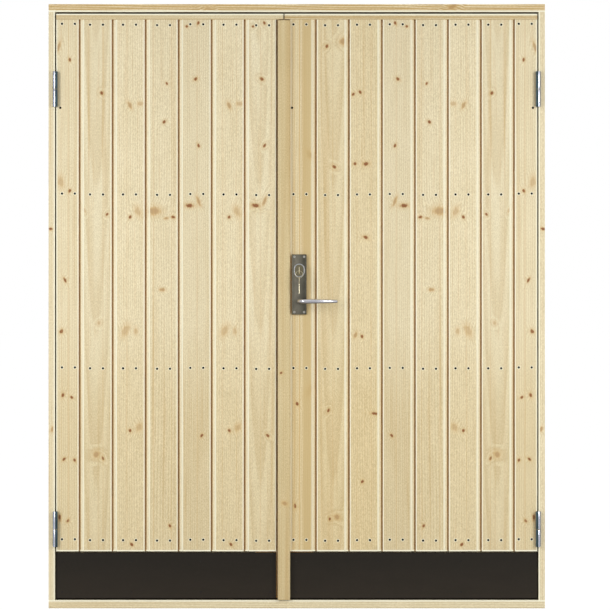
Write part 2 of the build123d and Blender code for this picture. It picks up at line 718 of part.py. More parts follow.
def case_shape(fit=0.0):
    """The outline of the mortice lock case with its forend, or the pocket that it fills."""
    low = LEVER_HEIGHT - CASE_BELOW_LEVER
    middle = low + CASE_HEIGHT / 2
    half = CASE_THICK / 2 + fit
    case = block(
        (RIGHT_EDGE, RIGHT_EDGE + CASE_DEPTH + fit),
        (RAIL_MIDDLE - half, RAIL_MIDDLE + half),
        (low - fit, low + CASE_HEIGHT + fit),
    )
    edge = FOREND_WIDTH / 2 + fit
    tall = FOREND_HEIGHT / 2 + fit
    forend = block(
        (RIGHT_EDGE, RIGHT_EDGE + FOREND_THICK),
        (RAIL_MIDDLE - edge, RAIL_MIDDLE + edge),
        (middle - tall, middle + tall),
    )
    return case + forend


def lock_case():
    """The lock case: passages for both bolts, and holes for the spindle and the tailpiece."""
    body = case_shape() - latch_shape(BOLT_FIT, LATCH_REACH + BOLT_FIT)
    body = body - dead_bolt_shape(BOLT_FIT, BOLT_FIT)
    spindle_hole = rod((LOCK_X, CASE_FRONT, LEVER_HEIGHT), INWARD, SPINDLE_ROOM, CASE_THICK)
    return body - spindle_hole - rod((LOCK_X, CASE_FRONT, CYLINDER_Z), INWARD, TAIL_ROOM, CASE_THICK)


def lock_stile_cuts():
    """What the lock takes out of the stile: case pocket, spindle hole and cylinder hole."""
    through = LEAF_BACK - LEAF_SEAT
    pocket = case_shape(GLUE_GAP)
    spindle_hole = rod((LOCK_X, LEAF_SEAT, LEVER_HEIGHT), INWARD, NECK_RADIUS + GLUE_GAP, through)
    front_oval = oval_bar((LEAF_SEAT, CASE_FRONT), OVAL_WIDTH, OVAL_HEIGHT, RING_FIT)
    tail_hole = rod((LOCK_X, RAIL_MIDDLE, CYLINDER_Z), INWARD, TAIL_ROOM, LEAF_BACK - RAIL_MIDDLE)
    return [pocket, spindle_hole, front_oval, tail_hole]


def lock_board_cuts():
    """What the lock takes out of the board in front of the stile."""
    spindle_hole = rod((LOCK_X, FRONT, LEVER_HEIGHT), INWARD, NECK_RADIUS + GLUE_GAP, BOARD_THICK)
    return [spindle_hole, oval_bar((FRONT, LEAF_SEAT), OVAL_WIDTH, OVAL_HEIGHT, RING_FIT)]


def strike_shape(fit=0.0):
    """The strike plate on the passive leaf's edge, or its recess."""
    middle = LEVER_HEIGHT + (LATCH_RISE + DEAD_BOLT_RISE) / 2
    tall = STRIKE_HEIGHT / 2 + fit
    wide = STRIKE_WIDTH / 2 + fit
    return block(
        (LEFT_EDGE - STRIKE_THICK, LEFT_EDGE),
        (RAIL_MIDDLE - wide, RAIL_MIDDLE + wide),
        (middle - tall, middle + tall),
    )


def strike_pockets():
    """The openings in the strike and the stile behind it for the latch and the dead bolt."""
    reach = DEAD_BOLT_THROW + STRIKE_FIT - MEETING_GAP
    latch_reach = LATCH_REACH + STRIKE_FIT - MEETING_GAP
    latch_z = LEVER_HEIGHT + LATCH_RISE
    bolt_z = LEVER_HEIGHT + DEAD_BOLT_RISE
    latch_half = (LATCH_THICK / 2 + STRIKE_FIT, LATCH_HEIGHT / 2 + STRIKE_FIT)
    bolt_half = (DEAD_BOLT_THICK / 2 + STRIKE_FIT, DEAD_BOLT_HEIGHT / 2 + STRIKE_FIT)
    return [
        block(
            (LEFT_EDGE - depth, LEFT_EDGE),
            (RAIL_MIDDLE - half[0], RAIL_MIDDLE + half[0]),
            (z - half[1], z + half[1]),
        )
        for depth, z, half in ((latch_reach, latch_z, latch_half), (reach, bolt_z, bolt_half))
    ]


def bar_hole(top):
    """The hole in the stop and its keeper that takes the slide bolt's bar."""
    half_x = BAR_WIDTH / 2 + KEEPER_FIT
    half_y = BAR_THICK / 2 + KEEPER_FIT
    face = stop_face(top)
    depth = bolt_way(top) * (BAR_TRAVEL - BAR_REST + BAR_TIP_GAP)
    return block((BAR_X - half_x, BAR_X + half_x), (BAR_Y - half_y, BAR_Y + half_y), (face, face + depth))


def keeper_plate(top, fit=0.0):
    """The plate let into the stop round the slide bolt's hole, or its recess."""
    face = stop_face(top)
    wide, deep = KEEPER_SIZE
    y_middle = (STOP_FRONT + BACK) / 2
    return block(
        (BAR_X - wide / 2 - fit, BAR_X + wide / 2 + fit),
        (y_middle - deep / 2 - fit, y_middle + deep / 2 + fit),
        (face, face + bolt_way(top) * KEEPER_THICK),
    )


def bolt_keeper(top):
    """A keeper plate with the bolt's hole."""
    return keeper_plate(top) - bar_hole(top)


def below_stop(top, distance):
    """The height of a point on a slide bolt, from its distance to the stop."""
    return stop_face(top) - bolt_way(top) * distance


def bolt_housing(top):
    """A slide bolt's base plate with its two guides, which the bar runs through."""
    wide, deep, tall = GUIDE_SIZE
    ends = (GUIDE_END_GAP, GUIDE_END_GAP + GUIDE_SPREAD)
    base = block(
        (BAR_X - BASE_WIDTH / 2, BAR_X + BASE_WIDTH / 2),
        (LEAF_BACK, LEAF_BACK + BASE_THICK),
        (below_stop(top, ends[0]), below_stop(top, ends[1])),
    )
    for near, far in ((ends[0], ends[0] + tall), (ends[1] - tall, ends[1])):
        z_range = (below_stop(top, near), below_stop(top, far))
        guide = block((BAR_X - wide / 2, BAR_X + wide / 2), (LEAF_BACK, LEAF_BACK + deep), z_range)
        base = base + chamfer(guide.edges().filter_by(Axis.Z).group_by(Axis.Y)[-1], GUIDE_BEVEL)
    return base - bar_shape(ends, BAR_FIT, top)


def bar_shape(distances, fit, top):
    """The slide bolt's bar, or its passage, between two distances from the stop."""
    half_x = BAR_WIDTH / 2 + fit
    half_y = BAR_THICK / 2 + fit
    z_range = (below_stop(top, distances[0]), below_stop(top, distances[1]))
    return block((BAR_X - half_x, BAR_X + half_x), (BAR_Y - half_y, BAR_Y + half_y), z_range)


def slide_bolt(top):
    """A slide bolt's bar with its knob, drawn back: shot, its foot still runs in the far guide."""
    foot = GUIDE_END_GAP + GUIDE_SPREAD + BAR_TRAVEL + BAR_REST
    wide, deep, tall = KNOB_SIZE
    low = GUIDE_END_GAP + GUIDE_SPREAD - GUIDE_SIZE[2] - BAR_FIT
    knob_y = BAR_Y + BAR_THICK / 2
    knob = block(
        (BAR_X - wide / 2, BAR_X + wide / 2),
        (knob_y, knob_y + deep),
        (below_stop(top, low), below_stop(top, low - tall)),
    )
    knob = chamfer(knob.faces().sort_by(Axis.Y)[-1].edges(), KNOB_BEVEL)
    return bar_shape((BAR_REST, foot), 0, top) + knob


def passive_leaf():
    """All the pieces of the left leaf."""
    wood = leaf(LEFT_EDGE, CLAD_END, LEFT_BOARD_COUNT)
    wood["meeting_stile"] = cut(wood.pop("far_stile"), [strike_shape(GLUE_GAP)] + strike_pockets())
    pieces = {f"left_{name}": shape for name, shape in wood.items()}
    pieces["strike_plate"] = cut(strike_shape(), strike_pockets())
    pieces["bolt_housings"] = [bolt_housing(True), bolt_housing(False)]
    pieces["top_bolt"] = slide_bolt(True)
    pieces["bottom_bolt"] = slide_bolt(False)
    return pieces


def active_leaf():
    """All the pieces of the right leaf, which is built like the left one and mirrored."""
    wood = leaf(-RIGHT_EDGE, -STRIP_RIGHT, RIGHT_BOARD_COUNT)
    pieces = {}
    for name, shape in wood.items():
        turned = [mirrored(one) for one in shape] if isinstance(shape, list) else mirrored(shape)
        pieces[f"right_{name}"] = turned
    pieces["right_lock_stile"] = cut(pieces.pop("right_far_stile"), lock_stile_cuts())
    lock_board = f"right_board_{RIGHT_BOARD_COUNT}"
    pieces[lock_board] = cut(pieces[lock_board], lock_board_cuts())
    pieces["overlap_strip"] = overlap_strip()
    return pieces


def lock_furniture():
    """The lock, its plates, levers, cylinder and keys."""
    return {
        "lock_case": lock_case(),
        "latch_bolt": latch_bolt(),
        "dead_bolt": dead_bolt_shape(),
        "outside_plate": outside_plate(),
        "inside_plate": inside_plate(),
        "cylinder_ring": cylinder_ring(),
        "cylinder_housing": cylinder_housing(),
        "cylinder_plug": cylinder_plug(),
        "inserted_key": inserted_key(),
        "key_loop": key_loop(),
        "spare_key": spare_key(),
        "thumb_turn": thumb_turn(),
        "lever_spindle": spindle(),
        "outside_lever": outside_lever(),
        "inside_lever": inside_lever(),
    }


def outer_frame():
    """The frame with the jambs' halves of the hinges."""
    jamb = frame_jamb()
    halves = [frame_half(height) for height in HINGE_CENTRES]
    washers = [hinge_washer(height) for height in HINGE_CENTRES]
    return {
        "frame_head": lying_member(True),
        "frame_sill": lying_member(False),
        "frame_left_jamb": jamb,
        "frame_right_jamb": mirrored(jamb),
        "frame_hinge_halves": halves + [mirrored(one) for one in halves],
        "hinge_washers": washers + [mirrored(one) for one in washers],
        "bolt_keepers": [bolt_keeper(True), bolt_keeper(False)],
    }


def main():
    """Write every piece of the door to its own file."""
    os.makedirs("parts", exist_ok=True)
    pieces = {**outer_frame(), **passive_leaf(), **active_leaf(), **lock_furniture()}
    for name, shape in pieces.items():
        solids = shape if isinstance(shape, list) else [shape]
        export_step(Compound([solid for one in solids for solid in one.solids()]), f"parts/{name}.step")


main()
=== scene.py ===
"""The looks of a double shed door: boarded pine leaves in a rebated pine frame.

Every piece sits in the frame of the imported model. Sizes are millimetres and are
turned into metres when a piece's mesh is finished.
"""
import logging
import math
from dataclasses import dataclass, replace
from enum import Enum
from typing import Iterable, Optional, Sequence, Union

import bmesh
import bpy
from mathutils import Matrix, Vector


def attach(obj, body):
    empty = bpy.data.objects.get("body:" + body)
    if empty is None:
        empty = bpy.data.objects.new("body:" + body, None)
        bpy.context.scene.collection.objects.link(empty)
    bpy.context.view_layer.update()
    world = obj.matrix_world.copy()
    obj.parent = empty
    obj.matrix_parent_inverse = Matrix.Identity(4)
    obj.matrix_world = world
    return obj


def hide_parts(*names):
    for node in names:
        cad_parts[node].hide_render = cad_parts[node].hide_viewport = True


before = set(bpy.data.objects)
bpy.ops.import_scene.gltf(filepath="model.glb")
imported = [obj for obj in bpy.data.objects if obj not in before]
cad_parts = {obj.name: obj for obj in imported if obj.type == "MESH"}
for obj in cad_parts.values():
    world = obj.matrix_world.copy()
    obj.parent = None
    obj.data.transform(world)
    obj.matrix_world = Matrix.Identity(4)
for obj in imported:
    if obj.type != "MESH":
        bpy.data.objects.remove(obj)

log = logging.getLogger("shed_door")

Colour = tuple[float, float, float, float]
Point = tuple[float, float, float]
Socket = bpy.types.NodeSocket
Feed = Union[Socket, float, Sequence[float]]
BMesh = bmesh.types.BMesh

MM = 0.001
OUTWARD = Vector((0, -1, 0))
INWARD = Vector((0, 1, 0))
STILL = Vector((0, 0, 0))
WHITE: Colour = (1.0, 1.0, 1.0, 1.0)
LOCK_X = 8.5
LEVER_Z = 1045.0
WELD_REACH = 0.01


def grey(level: float) -> Colour:
    """A grey as a linear colour."""
    return (level, level, level, 1.0)


def tint(red: int, green: int, blue: int) -> Colour:
    """Turns a colour as seen on a screen into light values.

    Args:
        red: Red, 0 to 255.
        green: Green, 0 to 255.
        blue: Blue, 0 to 255.

    Returns:
        The colour as linear red, green, blue and a full alpha.
    """

    def light(level: int) -> float:
        """One channel as an amount of light.

        Args:
            level: The channel, 0 to 255.

        Returns:
            The amount, 0 to 1.
        """
        share = level / 255
        if share <= 0.04045:
            return share / 12.92
        return ((share + 0.055) / 1.055) ** 2.4

    return (light(red), light(green), light(blue), 1.0)


class Grain(Enum):
    """Which way the wood runs in a piece."""

    UPRIGHT = "upright"
    LYING = "lying"


class KnotKind(Enum):
    """How a knot looks on the planed face."""

    DARK = "dark"
    PALE = "pale"
    STREAK = "streak"


@dataclass(frozen=True)
class Knot:
    """A knot in a board.

    Attributes:
        inward: Distance from the board's hinge-side edge.
        height: Height above the sill's underside.
        wide: Width across the grain.
        tall: Length along the grain.
        kind: How it looks.
    """

    inward: float
    height: float
    wide: float = 10.0
    tall: float = 12.0
    kind: KnotKind = KnotKind.DARK


class Workbench:
    """A node material being built, with its pattern space in millimetres."""

    def __init__(self, name: str) -> None:
        """Starts an empty material.

        Args:
            name: The material's name.
        """
        self.material = bpy.data.materials.new(name)
        self.material.use_nodes = True
        self.tree = self.material.node_tree
        self.tree.nodes.clear()
        place = self.node("ShaderNodeTexCoord").outputs["Object"]
        self.place = self.vector("SCALE", place, scale=1 / MM)

    def node(self, kind: str) -> bpy.types.Node:
        """Adds a node of a kind."""
        return self.tree.nodes.new(kind)

    def feed(self, entry: Socket, value: Feed) -> None:
        """Links a socket to an input or writes a fixed value there.

        Args:
            entry: The input.
            value: The socket or the value.
        """
        if isinstance(value, bpy.types.NodeSocket):
            self.tree.links.new(value, entry)
        else:
            entry.default_value = value

    def math(self, operation: str, *values: Feed, clamp: bool = False) -> Socket:
        """Adds a calculation.

        Args:
            operation: The calculation's name in Blender.
            values: Its inputs in order.
            clamp: Whether the result is kept between 0 and 1.

        Returns:
            The result.
        """
        node = self.node("ShaderNodeMath")
        node.operation = operation
        node.use_clamp = clamp
        for entry, value in zip(node.inputs, values):
            self.feed(entry, value)
        return node.outputs[0]

    def vector(self, operation: str, first: Feed, second: Feed = (0, 0, 0), scale: float = 1.0) -> Socket:
        """Adds a calculation on points.

        Args:
            operation: The calculation's name in Blender.
            first: The first point.
            second: The second point, where there is one.
            scale: The factor for SCALE.

        Returns:
            The point, or the number for LENGTH.
        """
        node = self.node("ShaderNodeVectorMath")
        node.operation = operation
        self.feed(node.inputs[0], first)
        self.feed(node.inputs[1], second)
        if operation == "SCALE":
            node.inputs["Scale"].default_value = scale
        return node.outputs["Value" if operation == "LENGTH" else "Vector"]

    def split(self, point: Socket) -> list[Socket]:
        """Takes a point apart.

        Args:
            point: The point.

        Returns:
            Its three parts.
        """
        node = self.node("ShaderNodeSeparateXYZ")
        self.feed(node.inputs[0], point)
        return list(node.outputs)

    def join(self, *parts: Feed) -> Socket:
        """Puts a point together.

        Args:
            parts: Its three parts.

        Returns:
            The point.
        """
        node = self.node("ShaderNodeCombineXYZ")
        for entry, value in zip(node.inputs, parts):
            self.feed(entry, value)
        return node.outputs[0]

    def noise(self, point: Feed, scale: Point, detail: float = 2.0, seed: float = 0.0) -> Socket:
        """Adds a soft random pattern.

        Args:
            point: Where the pattern is read.
            scale: The pattern's size along each axis, in millimetres.
            detail: How many finer layers it has.
            seed: Which pattern it is.

        Returns:
            A value about 0.5.
        """
        node = self.node("ShaderNodeTexNoise")
        stretched = self.vector("MULTIPLY", point, tuple(1 / size for size in scale))
        self.feed(node.inputs["Vector"], self.vector("ADD", stretched, (seed, seed * 0.7, -seed)))
        node.inputs["Scale"].default_value = 1.0
        node.inputs["Detail"].default_value = detail
        return node.outputs["Fac"]

    def fade(self, value: Socket, start: float, end: float, low: float = 0.0, high: float = 1.0) -> Socket:
        """Turns a value into a soft step.

        Args:
            value: The value.
            start: Where the step starts.
            end: Where it ends.
            low: What comes out at the start.
            high: What comes out at the end.

        Returns:
            The step.
        """
        node = self.node("ShaderNodeMapRange")
        node.interpolation_type = "SMOOTHSTEP"
        for entry, number in zip(node.inputs, (value, start, end, low, high)):
            self.feed(entry, number)
        return node.outputs[0]

    def ramp(self, value: Socket, stops: Sequence[tuple[float, Colour]]) -> Socket:
        """Turns a value into a colour.

        Args:
            value: The value.
            stops: Places along it, each with its colour.

        Returns:
            The colour.
        """
        node = self.node("ShaderNodeValToRGB")
        self.feed(node.inputs[0], value)
        elements = node.color_ramp.elements
        while len(elements) < len(stops):
            elements.new(0.5)
        for element, (place, colour) in zip(elements, stops):
            element.position = place
            element.color = colour
        return node.outputs["Color"]

    def mix(self, share: Feed, first: Feed, second: Feed, blend: str = "MIX") -> Socket:
        """Mixes two colours.

        Args:
            share: How much of the second colour is used.
            first: The first colour.
            second: The second colour.
            blend: How they are mixed.

        Returns:
            The mixed colour.
        """
        node = self.node("ShaderNodeMix")
        node.data_type = "RGBA"
        node.blend_type = blend
        self.feed(node.inputs[0], share)
        self.feed(node.inputs[6], first)
        self.feed(node.inputs[7], second)
        return node.outputs[2]

    def openness(self, reach: float) -> Socket:
        """How open a spot lies.

        Args:
            reach: How far round it is looked, in millimetres.

        Returns:
            0 down in a narrow gap to 1 in the clear.
        """
        node = self.node("ShaderNodeAmbientOcclusion")
        node.samples = 6
        node.inputs["Distance"].default_value = reach * MM
        return node.outputs["AO"]

    def surface(self, colour: Feed, roughness: Feed, metal: float = 0.0, height: Optional[Socket] = None,
                relief: float = 0.0, gloss: float = 0.5) -> bpy.types.Material:
        """Closes the material with its surface.

        Args:
            colour: The base colour.
            roughness: How dull the surface is.
            metal: 1 for bare metal, 0 for anything else.
            height: A relief pattern.
            relief: The relief's depth in millimetres.
            gloss: The strength of the reflection.

        Returns:
            The finished material.
        """
        shader = self.node("ShaderNodeBsdfPrincipled")
        self.feed(shader.inputs["Base Color"], colour)
        self.feed(shader.inputs["Roughness"], roughness)
        shader.inputs["Metallic"].default_value = metal
        shader.inputs["Specular IOR Level"].default_value = gloss
        if height is not None:
            bump = self.node("ShaderNodeBump")
            bump.inputs["Distance"].default_value = relief * MM
            self.feed(bump.inputs["Height"], height)
            self.feed(shader.inputs["Normal"], bump.outputs[0])
        output = self.node("ShaderNodeOutputMaterial")
        self.feed(output.inputs["Surface"], shader.outputs[0])
        return self.material


# Painted highlight colour for the pale lines along arrises, bevels and shelves; also the pale wood round the
# nails.
HIGHLIGHT_AND_PALE_WOOD = tint(255, 251, 226)
# Resin colour for the streaks and knot halos; also the painted shadow line at the top rail's lip foot.
RESIN_AND_SHADOW = tint(212, 176, 116)
HONEY_BAND = tint(206, 180, 126)
LYING_VEIN = tint(188, 148, 82)
# Painted shadow colour for the line down each board's slot.
SLOT_SHADOW = tint(158, 116, 58)


class JointShade(Enum):
    """Painted shade in joints, slots and gaps: the colour that darkens a spot by how closed in it lies."""

    BROWN = (
        (0.0, (0.55, 0.24, 0.02, 1)), (0.22, (0.72, 0.36, 0.05, 1)), (0.36, (0.97, 0.85, 0.68, 1)),
        (0.5, WHITE),
    )
    BLACK = (
        (0.0, (0.008, 0.007, 0.006, 1)), (0.2, (0.04, 0.034, 0.028, 1)), (0.45, (0.75, 0.7, 0.6, 1)),
        (0.62, WHITE),
    )


@dataclass(frozen=True)
class Line:
    """A line on the planed face, such as a painted highlight along an arris, a painted shadow line or a
    resin streak.

    Attributes:
        along: True for a line that follows the grain, False for one across it.
        place: Where it lies.
        width: Half its width.
        colour: Its colour.
        strength: How clearly it shows.
    """

    along: bool
    place: float
    width: float = 2.6
    colour: Colour = HIGHLIGHT_AND_PALE_WOOD
    strength: float = 1.0

    def beside(self, edge: float) -> "Line":
        """The same line, with its place counted from an edge."""
        return replace(self, place=edge + self.place)


@dataclass(frozen=True)
class PineFinish:
    """Planed pine: annual rings, warm bands, fibres and knots, with painted shade in the joints and gaps and
    painted highlights along the arrises.

    Attributes:
        name: The finish's name.
        grain: Which way the piece runs.
        seed: Which pattern it has.
        heart: Where the heart of the trunk lies: across, and behind the face.
        lean: How the heart drifts across and behind, for each millimetre along.
        tone: How light the piece is, 1 being the usual pine.
        warmth: How much of the piece is honey-coloured.
        yellow: How yellow the whole piece is.
        figure: How clearly the rings show.
        joint: How dark the painted shade in its gaps is.
        low: How light the piece still is towards the floor.
        mirror: -1 where the piece is the mirror image of its twin.
        knots: Its knots, as across, along, width, length and kind.
        nails: The middle of the nail pairs across, where it is nailed.
        nail_rows: The heights of the nails.
        lines: The painted highlights along the arrises, the painted shadow lines and the resin streaks.
    """

    name: str
    grain: Grain = Grain.UPRIGHT
    seed: float = 1.0
    heart: tuple[float, float] = (0.0, 60.0)
    lean: tuple[float, float] = (0.004, 0.012)
    tone: float = 1.0
    warmth: float = 0.5
    yellow: float = 0.0
    figure: float = 0.3
    joint: JointShade = JointShade.BROWN
    low: float = 1.0
    mirror: int = 1
    knots: tuple[tuple[float, float, float, float, KnotKind], ...] = ()
    nails: Optional[float] = None
    nail_rows: tuple[float, ...] = ()
    lines: tuple[Line, ...] = ()

    PALE = tint(240, 229, 195)
    HONEY = tint(229, 211, 170)
    LATE_WOOD = tint(205, 178, 124)
    KNOT_HEART = tint(150, 88, 44)
    KNOT_RIM = tint(112, 60, 28)
    KNOT_PALE = tint(206, 170, 114)
    KNOT_STRENGTH = {KnotKind.PALE: 0.14, KnotKind.STREAK: 0.3, KnotKind.DARK: 0.9}
    RING_SPACING = 7.0
    RING_WANDER = 20.0
    KNOT_PUSH = 9.0
    LINE_DEPTH = (-42.5, -44.0)
    JOINT_REACH = 14.0
    LOW_SPAN = (1050.0, 620.0)
    LOW_YELLOW = 0.45
    NAIL_RING = (7.0, 4.4, 0.0, 0.85)
    WANDER = (70, 70, 900)
    BAND = (26, 26, 1300)
    STREAK = (3.2, 3.2, 300)
    FIBRE = (1.7, 1.7, 5.5)
    BLOTCH = (40, 40, 130)
    WOBBLE = (7, 7, 12)
    DAPPLE_STOPS = ((0.3, (0.97, 0.96, 0.94, 1)), (0.7, (1.02, 1.02, 1.03, 1)))
    SPECK_STOPS = ((0.32, (0.85, 0.82, 0.76, 1)), (0.68, (1.1, 1.11, 1.14, 1)))
    DULL_STOPS = ((0.2, grey(0.52)), (0.8, grey(0.66)))

    def material(self) -> bpy.types.Material:
        """Builds the finish.

        Returns:
            The material.
        """
        bench = Workbench(self.name)
        across, depth, along = self._axes(bench)
        point = bench.join(across, depth, along)
        colour, fibre, rings = self._wood(bench, across, depth, along, point)
        front = bench.fade(depth, *self.LINE_DEPTH)
        # Painted highlights, painted shadow lines and resin streaks, on the front face only.
        for line in self.lines:
            track = across if line.along else along
            near = bench.math("ABSOLUTE", bench.math("SUBTRACT", track, line.place))
            share = bench.fade(near, line.width, line.width * 0.55, 0.0, line.strength)
            colour = bench.mix(bench.math("MULTIPLY", share, front), colour, line.colour)
        if self.nails is not None:
            colour = bench.mix(self._nail_rings(bench, across, along), colour, HIGHLIGHT_AND_PALE_WOOD)
        # Painted shade: the wood is darkened in joints, slots and gaps by how closed in they lie.
        shade = bench.ramp(bench.openness(self.JOINT_REACH), self.joint.value)
        colour = bench.mix(1.0, colour, shade, "MULTIPLY")
        dull = bench.ramp(fibre, self.DULL_STOPS)
        height = bench.math("ADD", fibre, bench.math("MULTIPLY", rings, 0.4))
        return bench.surface(colour, dull, height=height, relief=0.1, gloss=0.3)

    def _wood(self, bench: Workbench, across: Socket, depth: Socket, along: Socket,
              point: Socket) -> tuple[Socket, Socket, Socket]:
        """The wood's own colour, before the lines and the joints.

        Args:
            bench: The material being built.
            across: The distance across the face.
            depth: The distance behind the face.
            along: The distance along the grain.
            point: The three distances as a point.

        Returns:
            The colour, the fibres and the rings.
        """
        wander = bench.math("SUBTRACT", bench.noise(point, self.WANDER, 2, self.seed), 0.5)
        swell, core, rim, halo = self._knots(bench, across, along)
        rings = self._rings(bench, across, depth, along, wander, swell)
        band = bench.noise(point, self.BAND, 2, self.seed + 3)
        streak = bench.noise(point, self.STREAK, 3, self.seed + 5)
        fibre = bench.noise(point, self.FIBRE, 2, self.seed + 7)
        blotch = bench.noise(point, self.BLOTCH, 3, self.seed + 9)
        warm = bench.fade(band, 0.7 - 0.34 * self.warmth, 0.95 - 0.34 * self.warmth)
        colour = bench.mix(warm, self.PALE, self.HONEY)
        colour = bench.mix(bench.math("MULTIPLY", rings, self.figure), colour, self.LATE_WOOD)
        colour = bench.mix(bench.fade(streak, 0.55, 0.75, 0.0, 0.35), colour, RESIN_AND_SHADOW)
        colour = bench.mix(1.0, colour, bench.ramp(blotch, self.DAPPLE_STOPS), "MULTIPLY")
        colour = bench.mix(1.0, colour, bench.ramp(fibre, self.SPECK_STOPS), "MULTIPLY")
        colour = bench.mix(1.0, colour, self._level(self.tone, self.yellow), "MULTIPLY")
        if self.low < 1:
            height = bench.split(bench.place)[2]
            foot = bench.fade(height, *self.LOW_SPAN)
            colour = bench.mix(foot, colour, self._level(self.low, self.LOW_YELLOW), "MULTIPLY")
        if halo is not None:
            colour = bench.mix(bench.math("MULTIPLY", halo, 0.3), colour, RESIN_AND_SHADOW)
            colour = bench.mix(rim, colour, self.KNOT_PALE)
            colour = bench.mix(core, colour, bench.mix(fibre, self.KNOT_HEART, self.KNOT_RIM))
        return colour, fibre, rings

    def _level(self, tone: float, yellow: float) -> Colour:
        """The factor that a piece's colour is darkened and yellowed by."""
        return (tone, tone * (1 - 0.08 * yellow), tone * (1 - 0.25 * yellow), 1.0)

    def _axes(self, bench: Workbench) -> tuple[Socket, Socket, Socket]:
        """Reads the piece's own directions.

        Args:
            bench: The material being built.

        Returns:
            The distances across the face, behind it and along the grain.
        """
        x, y, z = bench.split(bench.place)
        if self.mirror < 0:
            x = bench.math("MULTIPLY", x, -1.0)
        return (x, y, z) if self.grain is Grain.UPRIGHT else (z, y, x)

    def _rings(self, bench: Workbench, across: Socket, depth: Socket, along: Socket, wander: Socket,
               swell: Optional[Socket]) -> Socket:
        """The annual rings, cut from a trunk that leans a little.

        Args:
            bench: The material being built.
            across: The distance across the face.
            depth: The distance behind the face.
            along: The distance along the grain.
            wander: How far the rings stray sideways.
            swell: How far the knots push them out, where there are knots.

        Returns:
            0 in spring wood to 1 in late wood.
        """
        drift_x = bench.math("MULTIPLY_ADD", along, self.lean[0], -self.heart[0])
        drift_y = bench.math("MULTIPLY_ADD", along, self.lean[1], -self.heart[1])
        x = bench.math("ADD", across, bench.math("MULTIPLY_ADD", wander, self.RING_WANDER, drift_x))
        y = bench.math("ADD", depth, drift_y)
        radius = bench.vector("LENGTH", bench.join(x, y, 0.0))
        if swell is not None:
            radius = bench.math("ADD", radius, swell)
        turns = bench.math("MULTIPLY", radius, 1 / self.RING_SPACING)
        year = bench.math("FRACT", turns)
        rise = bench.fade(year, 0.15, 0.82)
        fall = bench.fade(year, 1.0, 0.86)
        return bench.math("MULTIPLY", rise, fall)

    def _knots(self, bench: Workbench, across: Socket, along: Socket) -> tuple[Optional[Socket], ...]:
        """The knots, each an oval with a soft and wavering edge.

        Args:
            bench: The material being built.
            across: The distance across the face.
            along: The distance along the grain.

        Returns:
            The swelling of the rings, and the cores, rims and halos, or None for a clear piece.
        """
        swell = core = rim = halo = None
        wobble = bench.noise(bench.join(across, 0.0, along), self.WOBBLE, 2, self.seed + 11)
        soft = bench.math("MULTIPLY", bench.math("SUBTRACT", wobble, 0.5), 1.1)
        for number, (middle, height, wide, tall, kind) in enumerate(self.knots):
            rise = bench.math("SUBTRACT", along, height)
            tilt = 0.35 * math.sin(2.4 * number + self.seed)
            off = bench.math("MULTIPLY_ADD", rise, tilt, bench.math("SUBTRACT", across, middle))
            dx = bench.math("MULTIPLY", off, 2 / wide)
            dz = bench.math("MULTIPLY", rise, 2 / tall)
            reach = bench.math("ADD", bench.vector("LENGTH", bench.join(dx, 0.0, dz)), soft)
            heart = bench.fade(reach, 1.1, 0.6, 0.0, self.KNOT_STRENGTH[kind])
            edge = bench.fade(reach, 1.5, 0.9, 0.0, 0.35 if kind is KnotKind.PALE else 0.6)
            glow = bench.fade(reach, 3.0, 1.0)
            push = bench.math("MULTIPLY", bench.fade(reach, 4.6, 0.8), self.KNOT_PUSH)
            core = heart if core is None else bench.math("MAXIMUM", core, heart)
            rim = edge if rim is None else bench.math("MAXIMUM", rim, edge)
            halo = glow if halo is None else bench.math("MAXIMUM", halo, glow)
            swell = push if swell is None else bench.math("ADD", swell, push)
        return swell, core, rim, halo

    def _nail_rings(self, bench: Workbench, across: Socket, along: Socket) -> Socket:
        """The light wood pressed up round each nail.

        Args:
            bench: The material being built.
            across: The distance across the face.
            along: The distance along the grain.

        Returns:
            How clearly it shows.
        """
        off = bench.math("ABSOLUTE", bench.math("SUBTRACT", across, self.nails))
        dx = bench.math("SUBTRACT", off, Boards.NAIL_SPREAD)
        near: Optional[Socket] = None
        for row in self.nail_rows:
            away = bench.math("ABSOLUTE", bench.math("SUBTRACT", along, row))
            near = away if near is None else bench.math("MINIMUM", near, away)
        return bench.fade(bench.vector("LENGTH", bench.join(dx, 0.0, near)), *self.NAIL_RING)


@dataclass(frozen=True)
class FilmFinish:
    """Dark phenol film on plywood, lighter towards the floor, with pale dust specks."""

    name: str = "dark_film"
    TOP = tint(30, 26, 20)
    FOOT = tint(42, 36, 28)
    DUST = tint(84, 76, 66)
    CLOUD = (160, 60, 50)
    GRIT = (2.2, 2.2, 2.2)
    DULL_STOPS = ((0.3, grey(0.42)), (0.7, grey(0.56)))

    def material(self) -> bpy.types.Material:
        """Builds the finish.

        Returns:
            The material.
        """
        bench = Workbench(self.name)
        height = bench.split(bench.place)[2]
        cloud = bench.noise(bench.place, self.CLOUD, 3, 4.0)
        rise = bench.math("ADD", height, bench.math("MULTIPLY", cloud, 60.0))
        colour = bench.mix(bench.fade(rise, 230.0, 40.0), self.TOP, self.FOOT)
        grit = bench.noise(bench.place, self.GRIT, 2, 6.0)
        colour = bench.mix(bench.fade(grit, 0.55, 0.75, 0.0, 0.18), colour, self.DUST)
        dull = bench.ramp(cloud, self.DULL_STOPS)
        return bench.surface(colour, dull, height=grit, relief=0.08, gloss=0.16)


class Wear(Enum):
    """How a metal's surface is worked, as the size of its marks along each axis."""

    BRUSHED = (0.3, 0.3, 26.0)
    SPANGLED = (3.0, 3.0, 4.5)
    POLISHED = (0.35, 0.35, 0.35)


